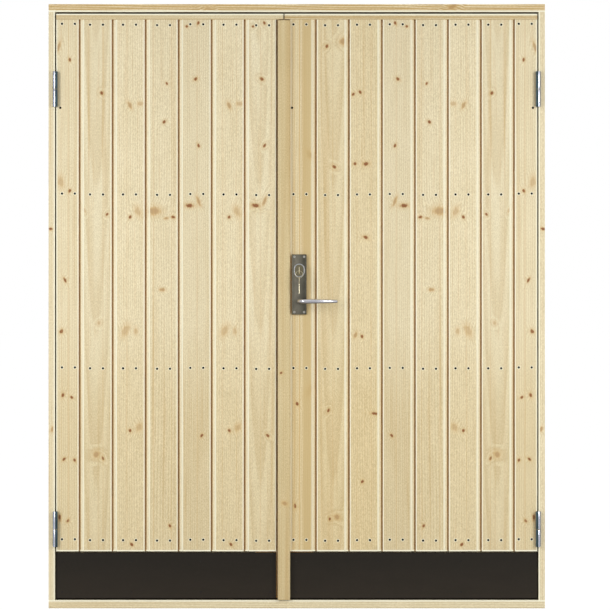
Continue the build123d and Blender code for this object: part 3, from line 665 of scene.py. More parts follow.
@dataclass(frozen=True)
class MetalFinish:
    """Bare or plated metal, with painted light and shade in bands where it has them.

    Attributes:
        name: The finish's name.
        colour: Its colour face on.
        roughness: How dull it is.
        wear: How its surface is worked.
        deep: How far the pattern goes.
        metal: 1 for bare metal, 0 for a dull black oxide.
        gloss: The strength of the reflection where it is not bare.
        bands: The painted light and shade along a direction, from 0 to 1 of the span.
        axis: That direction, 0 across and 2 up.
        span: Where the bands start and end.
        band_depth: How far back the bands reach.
    """

    name: str
    colour: Colour
    roughness: float = 0.3
    wear: Wear = Wear.POLISHED
    deep: float = 0.05
    metal: float = 1.0
    gloss: float = 0.5
    bands: tuple[tuple[float, Colour], ...] = ()
    axis: int = 0
    span: tuple[float, float] = (0.0, 1.0)
    band_depth: float = 200.0

    CLOUD = (14, 14, 22)
    SHADE = 0.72

    def material(self) -> bpy.types.Material:
        """Builds the finish.

        Returns:
            The material.
        """
        bench = Workbench(self.name)
        lines = bench.noise(bench.place, self.wear.value, 2, 2.0)
        cloud = bench.noise(bench.place, self.CLOUD, 2, 5.0)
        darker = tuple(part * self.SHADE for part in self.colour[:3]) + (1,)
        share = bench.math("MULTIPLY", bench.math("ADD", lines, cloud), 0.5)
        colour = bench.mix(bench.fade(share, 0.38, 0.62), darker, self.colour)
        # Painted light and shade: the metal is lightened or darkened in bands along one direction, on its
        # front parts only.
        if self.bands:
            parts = bench.split(bench.place)
            start, end = self.span
            place = bench.math("ABSOLUTE", parts[self.axis])
            size = end - start
            share = bench.math("MULTIPLY_ADD", place, 1 / size, -start / size, clamp=True)
            near = bench.fade(parts[1], self.band_depth, self.band_depth - 1.5)
            colour = bench.mix(near, colour, bench.ramp(share, self.bands), "MULTIPLY")
        low = max(self.roughness - 0.08, 0.05)
        dull = bench.ramp(share, ((0.35, grey(self.roughness + 0.12)), (0.65, grey(low))))
        return bench.surface(colour, dull, metal=self.metal, height=lines, relief=self.deep,
                             gloss=self.gloss)


class Finishes:
    """The metals and the film, each built once."""

    # Painted light and shade: a lit outer half and a shaded inner half on the hinge barrels, a painted
    # reflection fading to shade across the long plates, and a lit top and shaded underside on the lever
    # grips.
    BARREL_LIGHT_AND_SHADE = (
        (0.0, (0.55, 0.6, 0.58, 1)), (0.16, (0.07, 0.12, 0.125, 1)), (0.46, (0.05, 0.085, 0.09, 1)),
        (0.56, WHITE), (0.76, WHITE), (0.86, (0.4, 0.46, 0.56, 1)),
    )
    PLATE_REFLECTION_AND_SHADE = ((0.0, WHITE), (0.55, (0.62, 0.63, 0.62, 1)), (1.0, (0.42, 0.43, 0.43, 1)))
    GRIP_LIGHT_AND_SHADE = ((0.0, (0.3, 0.29, 0.27, 1)), (0.45, (0.8, 0.8, 0.82, 1)), (0.7, WHITE))

    def __init__(self) -> None:
        """Builds the shared materials."""
        self.zinc = MetalFinish("zinc", tint(178, 190, 194), 0.34, Wear.SPANGLED).material()
        self.hinge = MetalFinish("hinge_zinc", tint(198, 202, 214), 0.3, Wear.SPANGLED, bands=self.BARREL_LIGHT_AND_SHADE,
                                 span=(812.5, 829.5), band_depth=-46.0).material()
        self.satin = MetalFinish("satin_steel", tint(116, 112, 100), 0.36, Wear.BRUSHED, bands=self.PLATE_REFLECTION_AND_SHADE,
                                 span=(6.0, 34.0)).material()
        self.handle = MetalFinish("handle_steel", tint(200, 200, 206), 0.26, bands=self.GRIP_LIGHT_AND_SHADE, axis=2,
                                  span=(1037.0, 1053.0)).material()
        self.pale_ring = MetalFinish("ring_nickel", tint(178, 180, 182), 0.28).material()
        self.brass = MetalFinish("cylinder_brass", tint(118, 112, 92), 0.34, Wear.BRUSHED).material()
        self.key = MetalFinish("key_nickel", tint(226, 216, 184), 0.3).material()
        self.lock = MetalFinish("lock_case_steel", tint(150, 152, 152), 0.4, Wear.BRUSHED).material()
        self.nail = MetalFinish("nail_oxide", tint(20, 18, 15), 0.8, Wear.SPANGLED, metal=0.0,
                                gloss=0.02).material()
        self.screw = MetalFinish("screw_steel", tint(196, 194, 186), 0.32).material()
        self.dark_screw = MetalFinish("screw_oxide", tint(34, 30, 26), 0.5, metal=0.0, gloss=0.2).material()
        self.film = FilmFinish().material()


def dress(material: bpy.types.Material, *nodes: str) -> None:
    """Gives CAD nodes their finish.

    Args:
        material: The finish.
        nodes: The names of the nodes.
    """
    for name in nodes:
        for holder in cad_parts[name].material_slots:
            holder.material = material


def soften(width: float, *nodes: str) -> None:
    """Rounds the arrises of CAD nodes.

    Args:
        width: The arris in millimetres.
        nodes: The names of the nodes.
    """
    for name in nodes:
        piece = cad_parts[name]
        weld = piece.modifiers.new("weld", "WELD")
        weld.merge_threshold = WELD_REACH * MM
        bevel = piece.modifiers.new("arris", "BEVEL")
        bevel.width = width * MM
        bevel.segments = 2
        bevel.limit_method = "ANGLE"
        bevel.angle_limit = math.radians(40)
        bevel.use_clamp_overlap = True


def settle(name: str, work: BMesh, material: bpy.types.Material, body: str,
           crease: float = 38.0) -> bpy.types.Object:
    """Closes a mesh, turns it into metres and lets it ride on its body.

    Args:
        name: The piece's name.
        work: The mesh, in millimetres in the frame.
        material: Its finish.
        body: The CAD body it moves with.
        crease: The angle past which an edge stays sharp.

    Returns:
        The piece.
    """
    bmesh.ops.remove_doubles(work, verts=work.verts, dist=0.0005)
    bmesh.ops.recalc_face_normals(work, faces=work.faces)
    bmesh.ops.scale(work, vec=(MM, MM, MM), verts=work.verts)
    for face in work.faces:
        face.smooth = True
    mesh = bpy.data.meshes.new(name)
    work.to_mesh(mesh)
    work.free()
    mesh.set_sharp_from_angle(angle=math.radians(crease))
    mesh.materials.append(material)
    piece = bpy.data.objects.new(name, mesh)
    bpy.context.scene.collection.objects.link(piece)
    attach(piece, body)
    log.info("%s: %d faces on %s", name, len(mesh.polygons), body)
    return piece


def rim_of(geometry: Iterable) -> tuple[list, list]:
    """Picks a rim out of what an operator returns.

    Args:
        geometry: The vertices, edges and faces that it made.

    Returns:
        The vertices, and the edges between them.
    """
    corners = [part for part in geometry if isinstance(part, bmesh.types.BMVert)]
    known = set(corners)
    edges = [part for part in geometry if isinstance(part, bmesh.types.BMEdge)]
    return corners, [edge for edge in edges if set(edge.verts) <= known]


def turned(work: BMesh, profile: Sequence[tuple[float, float]], seat: Vector, way: Vector,
           steps: int = 40) -> None:
    """Adds a turned piece.

    Args:
        work: The mesh it is added to.
        profile: Radius and height of each point, from the seat up.
        seat: The middle of its foot.
        way: The direction it stands in.
        steps: How many flats go round.
    """
    side = way.orthogonal().normalized()
    start = [work.verts.new(seat + side * radius + way * rise) for radius, rise in profile]
    edges = [work.edges.new(pair) for pair in zip(start, start[1:])]
    bmesh.ops.spin(work, geom=start + edges, cent=seat, axis=way, angle=math.tau, steps=steps,
                   use_merge=True, use_duplicate=False)


@dataclass(frozen=True)
class CrossRecess:
    """A screw's cross recess, in shares of the head's radius.

    Attributes:
        rim: The height of the head's rim.
        crown: How much higher the flat middle lies.
        half: Half the width of an arm.
        arm: The length of an arm.
        depth: How deep the recess is.
    """

    rim: float = 0.16
    crown: float = 0.05
    half: float = 0.14
    arm: float = 0.52
    depth: float = 0.3


def cross_screw(work: BMesh, seat: Vector, way: Vector, radius: float, turn: float) -> None:
    """Adds a countersunk screw head with a cross recess.

    Args:
        work: The mesh it is added to.
        seat: The middle of the head, level with the surface.
        way: The direction the head faces.
        radius: The head's radius.
        turn: How far the cross is turned, in degrees.
    """
    cross = CrossRecess()
    flats = 24
    face = Matrix.Translation(seat) @ way.to_track_quat("Z", "Y").to_matrix().to_4x4()
    face = face @ Matrix.Rotation(math.radians(turn + 180 / flats), 4, "Z")
    ring = bmesh.ops.create_circle(work, segments=flats, radius=radius * 0.9, matrix=face)["verts"]
    edges = list({edge for corner in ring for edge in corner.link_edges})
    bmesh.ops.contextual_create(work, geom=edges)
    _, edges = step(work, edges, STILL, 1.11, seat)
    _, edges = step(work, edges, way * radius * cross.rim, 0.86, seat)
    corners, edges = step(work, edges, way * radius * cross.crown, 0.55, seat)
    half = radius * cross.half
    for corner in corners:
        local = face.inverted() @ corner.co
        angle = math.atan2(local.y, local.x) + math.radians(180 / flats)
        off = (angle + math.pi / 4) % (math.pi / 2) - math.pi / 4
        reach = min(radius * cross.arm, half / max(abs(math.sin(off)), 0.05))
        flat = Vector((local.x, local.y, 0)).normalized() * reach
        corner.co = face @ Vector((flat.x, flat.y, local.z))
    _, edges = step(work, edges, -way * radius * cross.depth, 0.55, seat)
    bmesh.ops.contextual_create(work, geom=edges)


def step(work: BMesh, edges: list, move: Vector, size: float, middle: Vector) -> tuple[list, list]:
    """Extrudes a closed rim, moves it and scales it about a point.

    Args:
        work: The mesh.
        edges: The rim's edges.
        move: How far the new rim moves.
        size: The factor it is scaled by.
        middle: The point it is scaled about.

    Returns:
        The new rim's vertices and edges.
    """
    corners, rim = rim_of(bmesh.ops.extrude_edge_only(work, edges=edges)["geom"])
    bmesh.ops.scale(work, vec=(size,) * 3, space=Matrix.Translation(-middle), verts=corners)
    bmesh.ops.translate(work, vec=move, verts=corners)
    return corners, rim


def oval_rim(work: BMesh, width: float, height: float, middle: Vector) -> list:
    """Adds an upright oval rim that faces outwards.

    Args:
        work: The mesh it is added to.
        width: The oval's width.
        height: Its height.
        middle: Its middle.

    Returns:
        The rim's edges.
    """
    flats = 48
    face = Matrix.Translation(middle) @ Matrix.Rotation(math.radians(90), 4, "X")
    face = face @ Matrix.Rotation(math.pi / flats, 4, "Z")
    ring = bmesh.ops.create_circle(work, segments=flats, radius=width / 2, matrix=face)["verts"]
    rise = (height - width) / 2
    for corner in ring:
        corner.co.z += math.copysign(rise, corner.co.z - middle.z)
    return list({edge for corner in ring for edge in corner.link_edges})


def board_edges(hinge_edge: float, second: float, pitch: float, count: int) -> tuple[float, ...]:
    """Where a leaf's boards start, in distances from the door's middle.

    Args:
        hinge_edge: The edge of the first board, which is ripped.
        second: The edge of the second board.
        pitch: What each further board covers.
        count: How many boards there are.

    Returns:
        The edges, the one nearest the hinges first.
    """
    return (hinge_edge,) + tuple(second - pitch * number for number in range(count - 1))


class Boards:
    """The cladding of both leaves: a pine finish for each board, and its nails."""

    NAIL_SPREAD = 22.0
    NAIL_ROWS = (1987.0, 1409.0, 817.0, 232.0)
    LEFT_NAILS = (777.3, 681.8, 569.4, 453.6, 340.4, 227.3, 116.1)
    RIGHT_NAILS = (778.0, 674.0, 562.6, 452.0, 338.8, 227.2, 118.5, 10.8)
    EDGES = board_edges(819.0, 742.6, 112.4, 8)
    LEFT_END = 70.5
    RIGHT_END = -22.5
    FACE = -47.5
    NAIL_RADIUS = 4.0
    NAIL_SUNK = 0.3
    NAIL_RISES = (0.15, 0.35, 0.45)
    NAIL_FLATS = 12
    FOOT = 194.0
    FIRST_SEED = 7.3
    SEED_STEP = 11.1
    LOCK_SEED = 5
    LOCK_TONE = 0.95
    LOCK_YELLOW = 0.4
    LOW_TONE = 0.92
    LOCK_LOW_TONE = 0.96

    # Painted light on each board: painted highlights on the shelf, the bevels and the arrises, a painted
    # shadow line down the slot, and a painted highlight beside the strip that lightens its shadow.
    SHELF = Line(True, -10.5, 4.5, HIGHLIGHT_AND_PALE_WOOD, 0.3)
    SLOT = Line(True, -5.4, 2.2, SLOT_SHADOW, 0.85)
    BEVEL = Line(True, -16.0, 3.0, HIGHLIGHT_AND_PALE_WOOD, 0.95)
    FAINT_BEVEL = Line(True, -16.0, 3.0, HIGHLIGHT_AND_PALE_WOOD, 0.6)
    HINGE_ARRIS = Line(True, -1.5, 3.0, HIGHLIGHT_AND_PALE_WOOD, 0.9)
    GROOVE_ARRIS = Line(True, 1.8, 2.8, HIGHLIGHT_AND_PALE_WOOD, 0.8)
    BESIDE_STRIP_HIGHLIGHT = Line(True, 3.0, 4.0, HIGHLIGHT_AND_PALE_WOOD, 0.5)
    FOOT_ARRIS = Line(False, 1.5, 4.0)

    EDGE_BOARD = (
        Knot(7, 1908, 9, 36, KnotKind.STREAK), Knot(46, 1868, 9, 12), Knot(15, 1452, 17, 30, KnotKind.PALE),
        Knot(46, 1421), Knot(30, 1118, 9, 16), Knot(18, 943, 12, 14), Knot(23, 726, 10, 16),
        Knot(53, 718, 9, 10), Knot(27, 508), Knot(63, 504), Knot(12, 309, 9, 22), Knot(40, 298),
    )
    SECOND_BOARD = (
        Knot(79, 1754), Knot(97, 1342, 9, 10), Knot(20, 1356, 6, 16, KnotKind.PALE),
        Knot(69, 972, 9, 11, KnotKind.PALE), Knot(60, 524, 19, 20, KnotKind.STREAK), Knot(83, 510, 8, 14),
    )
    THIRD_BOARD = (
        Knot(62, 1713, 11, 20, KnotKind.STREAK), Knot(99, 1718, 17, 11, KnotKind.PALE), Knot(63, 1332),
        Knot(89, 1351, 16, 26, KnotKind.PALE), Knot(48, 946, 19, 30, KnotKind.PALE), Knot(63, 605),
        Knot(82, 944, 10, 18, KnotKind.PALE), Knot(93, 616, 16, 20, KnotKind.PALE), Knot(69, 217),
    )
    FOURTH_BOARD = (
        Knot(31, 1352, 40, 24, KnotKind.STREAK), Knot(97, 1332, 13, 10), Knot(67, 1656),
        Knot(75, 1787, 8, 10), Knot(60, 1085, 17, 10, KnotKind.STREAK),
        Knot(74, 1328, 13, 8, KnotKind.STREAK), Knot(86, 280),
    )
    FIFTH_BOARD = (
        Knot(61, 1802, 13, 12), Knot(71, 1575, 9, 13), Knot(41, 1371, 27, 14), Knot(70, 1993, 9, 13),
        Knot(71, 1386, 9, 27, KnotKind.STREAK), Knot(82, 588), Knot(31, 1981, 9, 8),
    )
    NEAR_LOCK_BOARD = (
        Knot(101, 1750), Knot(77, 1757), Knot(95, 1514, 10, 11), Knot(58, 1513, 20, 13),
        Knot(58, 1263, 17, 13), Knot(93, 931, 9, 17, KnotKind.STREAK), Knot(71, 926),
        Knot(27, 663, 22, 10), Knot(70, 431),
    )
    GRIP_BOARD = (
        Knot(78, 1914), Knot(24, 1930, 19, 19, KnotKind.STREAK), Knot(53, 1503, 13, 13),
        Knot(73, 673, 9, 13), Knot(44, 311, 16, 16, KnotKind.STREAK), Knot(68, 304),
    )
    LOCK_BOARD = (
        Knot(25, 1544, 17, 24, KnotKind.STREAK), Knot(25, 741, 19, 36, KnotKind.PALE), Knot(67, 696, 10, 13),
        Knot(74, 348, 10, 17),
    )
    LEFT = (EDGE_BOARD, SECOND_BOARD, THIRD_BOARD, FOURTH_BOARD, FIFTH_BOARD, THIRD_BOARD, FIFTH_BOARD)
    RIGHT = LEFT[:5] + (NEAR_LOCK_BOARD, GRIP_BOARD, LOCK_BOARD)
    TONES = (1.0, 0.975, 1.01, 0.985, 0.955, 1.0, 0.98, 0.97)
    WARMTHS = (0.4, 0.6, 0.3, 0.6, 0.6, 0.4, 0.6, 0.7)
    HEARTS = ((170.0, 20.0), (-60.0, 70.0), (-210.0, 30.0), (40.0, 46.0), (230.0, 10.0))
    ROW_SHIFTS = (3.0, 0.0, 0.0, -1.5, 1.5, 0.0, -2.0, 1.0)
    EXTRA_NAILS = ((-1, -805.0, 1704.0), (1, 804.0, 1704.0), (1, -16.0, 1704.0))
    STREAKS = (
        ((42.0, 3.0, 0.3), (18.0, 1.6, 0.2)), ((83.0, 2.2, 0.28), (34.0, 3.0, 0.16)), ((52.0, 2.0, 0.25),),
        ((30.0, 3.0, 0.25), (92.0, 2.5, 0.22)), ((66.0, 2.5, 0.28),), ((40.0, 2.2, 0.25), (88.0, 2.0, 0.2)),
        ((58.0, 2.2, 0.25), (96.0, 3.5, 0.2)), ((58.8, 1.8, 0.75), (76.5, 1.6, 0.4)),
    )
    LOCK_BAND = Line(True, 35.0, 17.0, HONEY_BAND, 0.75)

    def finish(self, side: int, number: int) -> PineFinish:
        """The finish of one board.

        Args:
            side: -1 for the left leaf, 1 for the right.
            number: The board's number from the hinge, from 0.

        Returns:
            Its finish, in distances from the door's middle towards the hinge.
        """
        looks = self.LEFT if side < 0 else self.RIGHT
        start = self.EDGES[number]
        ends = self.EDGES[1:] + (self.RIGHT_END,)
        stop = self.LEFT_END if side < 0 and number == len(looks) - 1 else ends[number]
        knots = tuple(
            (start - knot.inward, knot.height, knot.wide, knot.tall, knot.kind) for knot in looks[number]
        )
        twin = 2 if side < 0 and number == 5 else number
        across, behind = self.HEARTS[number % len(self.HEARTS)]
        near_lock = side > 0 and number > 4
        return PineFinish(
            name=f"pine_{'left' if side < 0 else 'right'}_{number + 1}",
            seed=self.FIRST_SEED + self.SEED_STEP * twin + (self.LOCK_SEED if near_lock else 0),
            heart=(start + across, behind),
            lean=(0.006 * (number % 3 - 1), 0.014),
            tone=self.TONES[number] * (self.LOCK_TONE if near_lock else 1),
            warmth=self.WARMTHS[number],
            yellow=self.LOCK_YELLOW if near_lock else 0.0,
            low=self.LOCK_LOW_TONE if near_lock else self.LOW_TONE,
            mirror=side,
            knots=knots,
            nails=(self.LEFT_NAILS if side < 0 else self.RIGHT_NAILS)[number],
            nail_rows=tuple(row + self.ROW_SHIFTS[number] for row in self.NAIL_ROWS),
            lines=self.lines(side, number, start, stop),
        )

    def lines(self, side: int, number: int, start: float, stop: float) -> tuple[Line, ...]:
        """The resin streaks, and the painted highlights and painted shadow lines of one board.

        Args:
            side: -1 for the left leaf, 1 for the right.
            number: The board's number from the hinge, from 0.
            start: Its edge towards the hinge.
            stop: Its other edge.

        Returns:
            The lines, the streaks first.
        """
        found = [
            Line(True, start - inward, width, RESIN_AND_SHADOW, share) for inward, width, share in self.STREAKS[number]
        ]
        if side > 0 and number == len(self.RIGHT) - 1:
            found.insert(0, self.LOCK_BAND)
        # Painted highlights and a painted shadow line at the board's joints and foot.
        if number:
            bevel = self.BEVEL if stop > 0 else self.FAINT_BEVEL
            found += [line.beside(start) for line in (self.SHELF, self.SLOT, bevel)]
        else:
            found.append(self.HINGE_ARRIS.beside(start))
        if stop > 0:
            found.append(self.GROOVE_ARRIS.beside(stop))
        elif side > 0:
            found.append(self.BESIDE_STRIP_HIGHLIGHT.beside(stop))
        found.append(self.FOOT_ARRIS.beside(self.FOOT))
        return tuple(found)

    def build(self, finishes: Finishes) -> None:
        """Dresses every board and drives its nails.

        Args:
            finishes: The shared finishes.
        """
        for side, body, looks in ((-1, "leaf_left", self.LEFT), (1, "leaf_right", self.RIGHT)):
            work = bmesh.new()
            for number in range(len(looks)):
                finish = self.finish(side, number)
                dress(finish.material(), f"{body.split('_')[1]}_board_{number + 1}")
                for row in finish.nail_rows:
                    for hand in (-1, 1):
                        x = side * (finish.nails + hand * self.NAIL_SPREAD)
                        self.nail(work, Vector((x, self.FACE, row)))
            for leaf, x, height in self.EXTRA_NAILS:
                if leaf == side:
                    self.nail(work, Vector((x, self.FACE, height)))
            settle(f"{body}_nails", work, finishes.nail, body)

    def nail(self, work: BMesh, seat: Vector) -> None:
        """Adds one nail head, a shallow dome a little proud of the wood.

        Args:
            work: The mesh it is added to.
            seat: Its middle, level with the wood.
        """
        radius = self.NAIL_RADIUS
        foot = -self.NAIL_SUNK
        rim, shoulder, crown = self.NAIL_RISES
        profile = ((0.0, foot), (radius, foot), (radius, rim), (radius * 0.8, shoulder), (0.0, crown))
        turned(work, profile, seat, OUTWARD, self.NAIL_FLATS)


@dataclass
class Carcass:
    """The frame, the leaves' stiles and rails, the strip and the kick panels."""

    jamb_face: float = 823.0
    head_under: float = 2030.0
    sill_top: float = 28.0
    leaf_top: float = 2024.5
    lip_foot: float = 2005.0
    screw_heights: tuple[float, float] = (159.0, 55.0)
    left_columns: tuple[float, ...] = (-799.0, -563.0, -327.0, -90.5)
    right_columns: tuple[float, ...] = (799.0, 559.0, 278.0, -2.5)
    panel_face: float = -40.5
    screw_radius: float = 3.4

    JAMB_KNOTS = ((838, 1292, 14, 10, KnotKind.DARK), (832, 610, 10, 16, KnotKind.STREAK))
    HEAD_KNOTS = ((2048, 530, 14, 26, KnotKind.STREAK), (2041, -300, 8, 20, KnotKind.PALE))
    STRIP_KNOTS = ((-53, 802, 9, 10, KnotKind.DARK), (-41, 358, 16, 13, KnotKind.STREAK))
    HEAD_VEINS = (
        Line(True, 2040.6, 1.5, LYING_VEIN, 1.0), Line(True, 2045.8, 1.1, LYING_VEIN, 0.6),
        Line(True, 2051.0, 1.4, LYING_VEIN, 0.9),
    )
    TOP_RAIL_VEIN = Line(True, 2012.5, 1.7, LYING_VEIN, 0.8)

    def build(self, finishes: Finishes) -> None:
        """Dresses the timber that isn't cladding and screws on the kick panels.

        Args:
            finishes: The shared finishes.
        """
        self.dress_frame()
        self.dress_leaves()
        dress(finishes.film, "left_kick_panel", "right_kick_panel")
        for columns, body in ((self.left_columns, "leaf_left"), (self.right_columns, "leaf_right")):
            self.panel_screws(columns, body, finishes)

    def dress_frame(self) -> None:
        """The jambs, the head and the sill."""
        # Painted highlights along the inner arrises of the jambs, the head and the sill, and painted shade
        # in the gaps round the leaves.
        edge = Line(True, self.jamb_face + 2.8, 2.8)
        for side, node in ((-1, "frame_left_jamb"), (1, "frame_right_jamb")):
            finish = PineFinish(f"pine_{node}", seed=51.0 + side, heart=(640, 40), mirror=side, tone=1.0,
                                warmth=0.4, joint=JointShade.BLACK, lines=(edge,), knots=self.JAMB_KNOTS)
            dress(finish.material(), node)
        lines = self.HEAD_VEINS + (Line(True, self.head_under + 3.0, 3.2),)
        head = PineFinish("pine_frame_head", Grain.LYING, 61.0, (2230, 20), (0.01, 0.02), tone=1.06,
                          warmth=0.75, yellow=0.2, figure=1.0, joint=JointShade.BLACK, lines=lines,
                          knots=self.HEAD_KNOTS)
        dress(head.material(), "frame_head")
        sill = PineFinish("pine_frame_sill", Grain.LYING, 67.0, (190, 40), tone=0.99, warmth=0.6,
                          joint=JointShade.BLACK, lines=(Line(True, self.sill_top - 2.6, 3.4),))
        dress(sill.material(), "frame_sill")

    def dress_leaves(self) -> None:
        """The stiles, the rails and the strip over the joint."""
        for side, word in ((-1, "left"), (1, "right")):
            # A painted highlight along the top rail's upper arris and a painted shadow line at the lip's
            # foot; the stiles and rails get painted shade in their gaps.
            edge = (Line(True, self.leaf_top - 2.4, 3.2), Line(True, self.lip_foot, 1.8, RESIN_AND_SHADOW, 0.5))
            if side > 0:
                edge = (self.TOP_RAIL_VEIN,) + edge
            figure = 0.25 if side < 0 else 0.7
            top = PineFinish(f"pine_{word}_top_rail", Grain.LYING, 71.0 + side, (1830, 10), (0.008, 0.01),
                             tone=0.9, warmth=0.7, yellow=0.3, figure=figure, joint=JointShade.BLACK, lines=edge)
            dress(top.material(), f"{word}_top_rail")
            rails = PineFinish(f"pine_{word}_rails", Grain.LYING, 77.0 + side, (900, 120), warmth=0.5,
                               joint=JointShade.BLACK)
            dress(rails.material(), f"{word}_mid_rails", f"{word}_bottom_rail")
            outer = (f"{word}_hinge_stile", 81.0, 770, JointShade.BLACK)
            inner = (f"{word}_meeting_stile" if side < 0 else f"{word}_lock_stile", 87.0, 90, JointShade.BROWN)
            for node, seed, middle, joint in (outer, inner):
                stile = PineFinish(f"pine_{node}", seed=seed + side, heart=(middle, 40), mirror=side,
                                   joint=joint)
                dress(stile.material(), node)
        strip = PineFinish("pine_strip", seed=93.0, heart=(-260, 10), tone=0.83, warmth=0.9, yellow=0.9,
                           figure=0.15, knots=self.STRIP_KNOTS)
        dress(strip.material(), "overlap_strip")

    def panel_screws(self, columns: tuple[float, ...], body: str, finishes: Finishes) -> None:
        """Adds the screws of one kick panel.

        Args:
            columns: Where the screws stand across.
            body: The leaf they ride on.
            finishes: The shared finishes.
        """
        work = bmesh.new()
        for number, column in enumerate(columns):
            for height in self.screw_heights:
                seat = Vector((column, self.panel_face - 0.05, height))
                cross_screw(work, seat, OUTWARD, self.screw_radius, 35.0 * number + height)
        settle(f"{body}_panel_screws", work, finishes.dark_screw, body)


@dataclass
class LeverHandle:
    """A pair of round lever handles that taper towards the tip."""

    lock_x: float = LOCK_X
    height: float = LEVER_Z
    hub: float = -52.5
    neck: float = -80.5
    neck_radius: float = 8.0
    elbow: float = 26.0
    bow: float = 200.0
    bow_angle: float = 30.0
    tip_radius: float = 5.6
    mirror_plane: float = -24.0
    flats: int = 40
    elbow_steps: int = 18
    bow_steps: int = 24
    tip_steps: int = 6

    def bar(self) -> BMesh:
        """Extrudes the outside handle out of its hub, round the elbow and along the grip.

        Returns:
            The handle's mesh.
        """
        work = bmesh.new()
        hub = Vector((self.lock_x, self.hub, self.height))
        face = Matrix.Translation(hub) @ Matrix.Rotation(math.radians(90), 4, "X")
        ring = bmesh.ops.create_circle(work, segments=self.flats, radius=self.neck_radius, matrix=face)
        edges = list({edge for corner in ring["verts"] for edge in corner.link_edges})
        bmesh.ops.contextual_create(work, geom=edges)
        corners, edges = step(work, edges, Vector((0, self.neck - self.hub, 0)), 1.0, hub)
        turn = Vector((self.lock_x + self.elbow, self.neck, self.height))
        last = bmesh.ops.spin(work, geom=corners + edges, cent=turn, axis=(0, 0, 1), angle=math.pi / 2,
                              steps=self.elbow_steps, use_duplicate=False)["geom_last"]
        _, edges = rim_of(last)
        self.grip(work, edges, turn + Vector((0, self.bow - self.elbow, 0)))
        return work

    def grip(self, work: BMesh, edges: list, centre: Vector) -> None:
        """Draws the grip out along its bow, thinner towards the rounded tip.

        Args:
            work: The handle's mesh.
            edges: The rim where the elbow ends.
            centre: The middle of the bow's arc.
        """
        angle = math.radians(self.bow_angle) / self.bow_steps
        part = Matrix.Rotation(angle, 3, "Z")
        reach = Vector((0, -self.bow, 0))
        radius = self.neck_radius
        for _ in range(self.bow_steps):
            thinner = radius - (self.neck_radius - self.tip_radius) / self.bow_steps
            corners, edges = step(work, edges, STILL, thinner / radius, centre + reach)
            bmesh.ops.rotate(work, cent=centre, matrix=part, verts=corners)
            reach = part @ reach
            radius = thinner
        self.tip(work, edges, centre + reach, Matrix.Rotation(math.pi / 2, 3, "Z") @ reach.normalized())

    def tip(self, work: BMesh, edges: list, end: Vector, way: Vector) -> None:
        """Rounds the grip's end.

        Args:
            work: The handle's mesh.
            edges: The rim where the grip ends.
            end: The middle of that rim.
            way: The direction the grip points in.
        """
        size = 1.0
        gone = 0.0
        for number in range(1, self.tip_steps + 1):
            turn = math.pi / 2 * number / (self.tip_steps + 0.4)
            ahead = self.tip_radius * 0.8 * math.sin(turn)
            middle = end + way * gone
            _, edges = step(work, edges, way * (ahead - gone), math.cos(turn) / size, middle)
            size = math.cos(turn)
            gone = ahead
        bmesh.ops.contextual_create(work, geom=edges)

    def build(self, finishes: Finishes) -> None:
        """Makes both handles.

        Args:
            finishes: The shared finishes.
        """
        outside = settle("lever_grip_outside", self.bar(), finishes.handle, "lever")
        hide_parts("outside_lever")
        work = self.bar()
        flip = Matrix.Translation((0, -self.mirror_plane, 0))
        bmesh.ops.scale(work, vec=(1, -1, 1), space=flip, verts=work.verts)
        inside = settle("lever_grip_inside", work, finishes.handle, "lever")
        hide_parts("inside_lever")


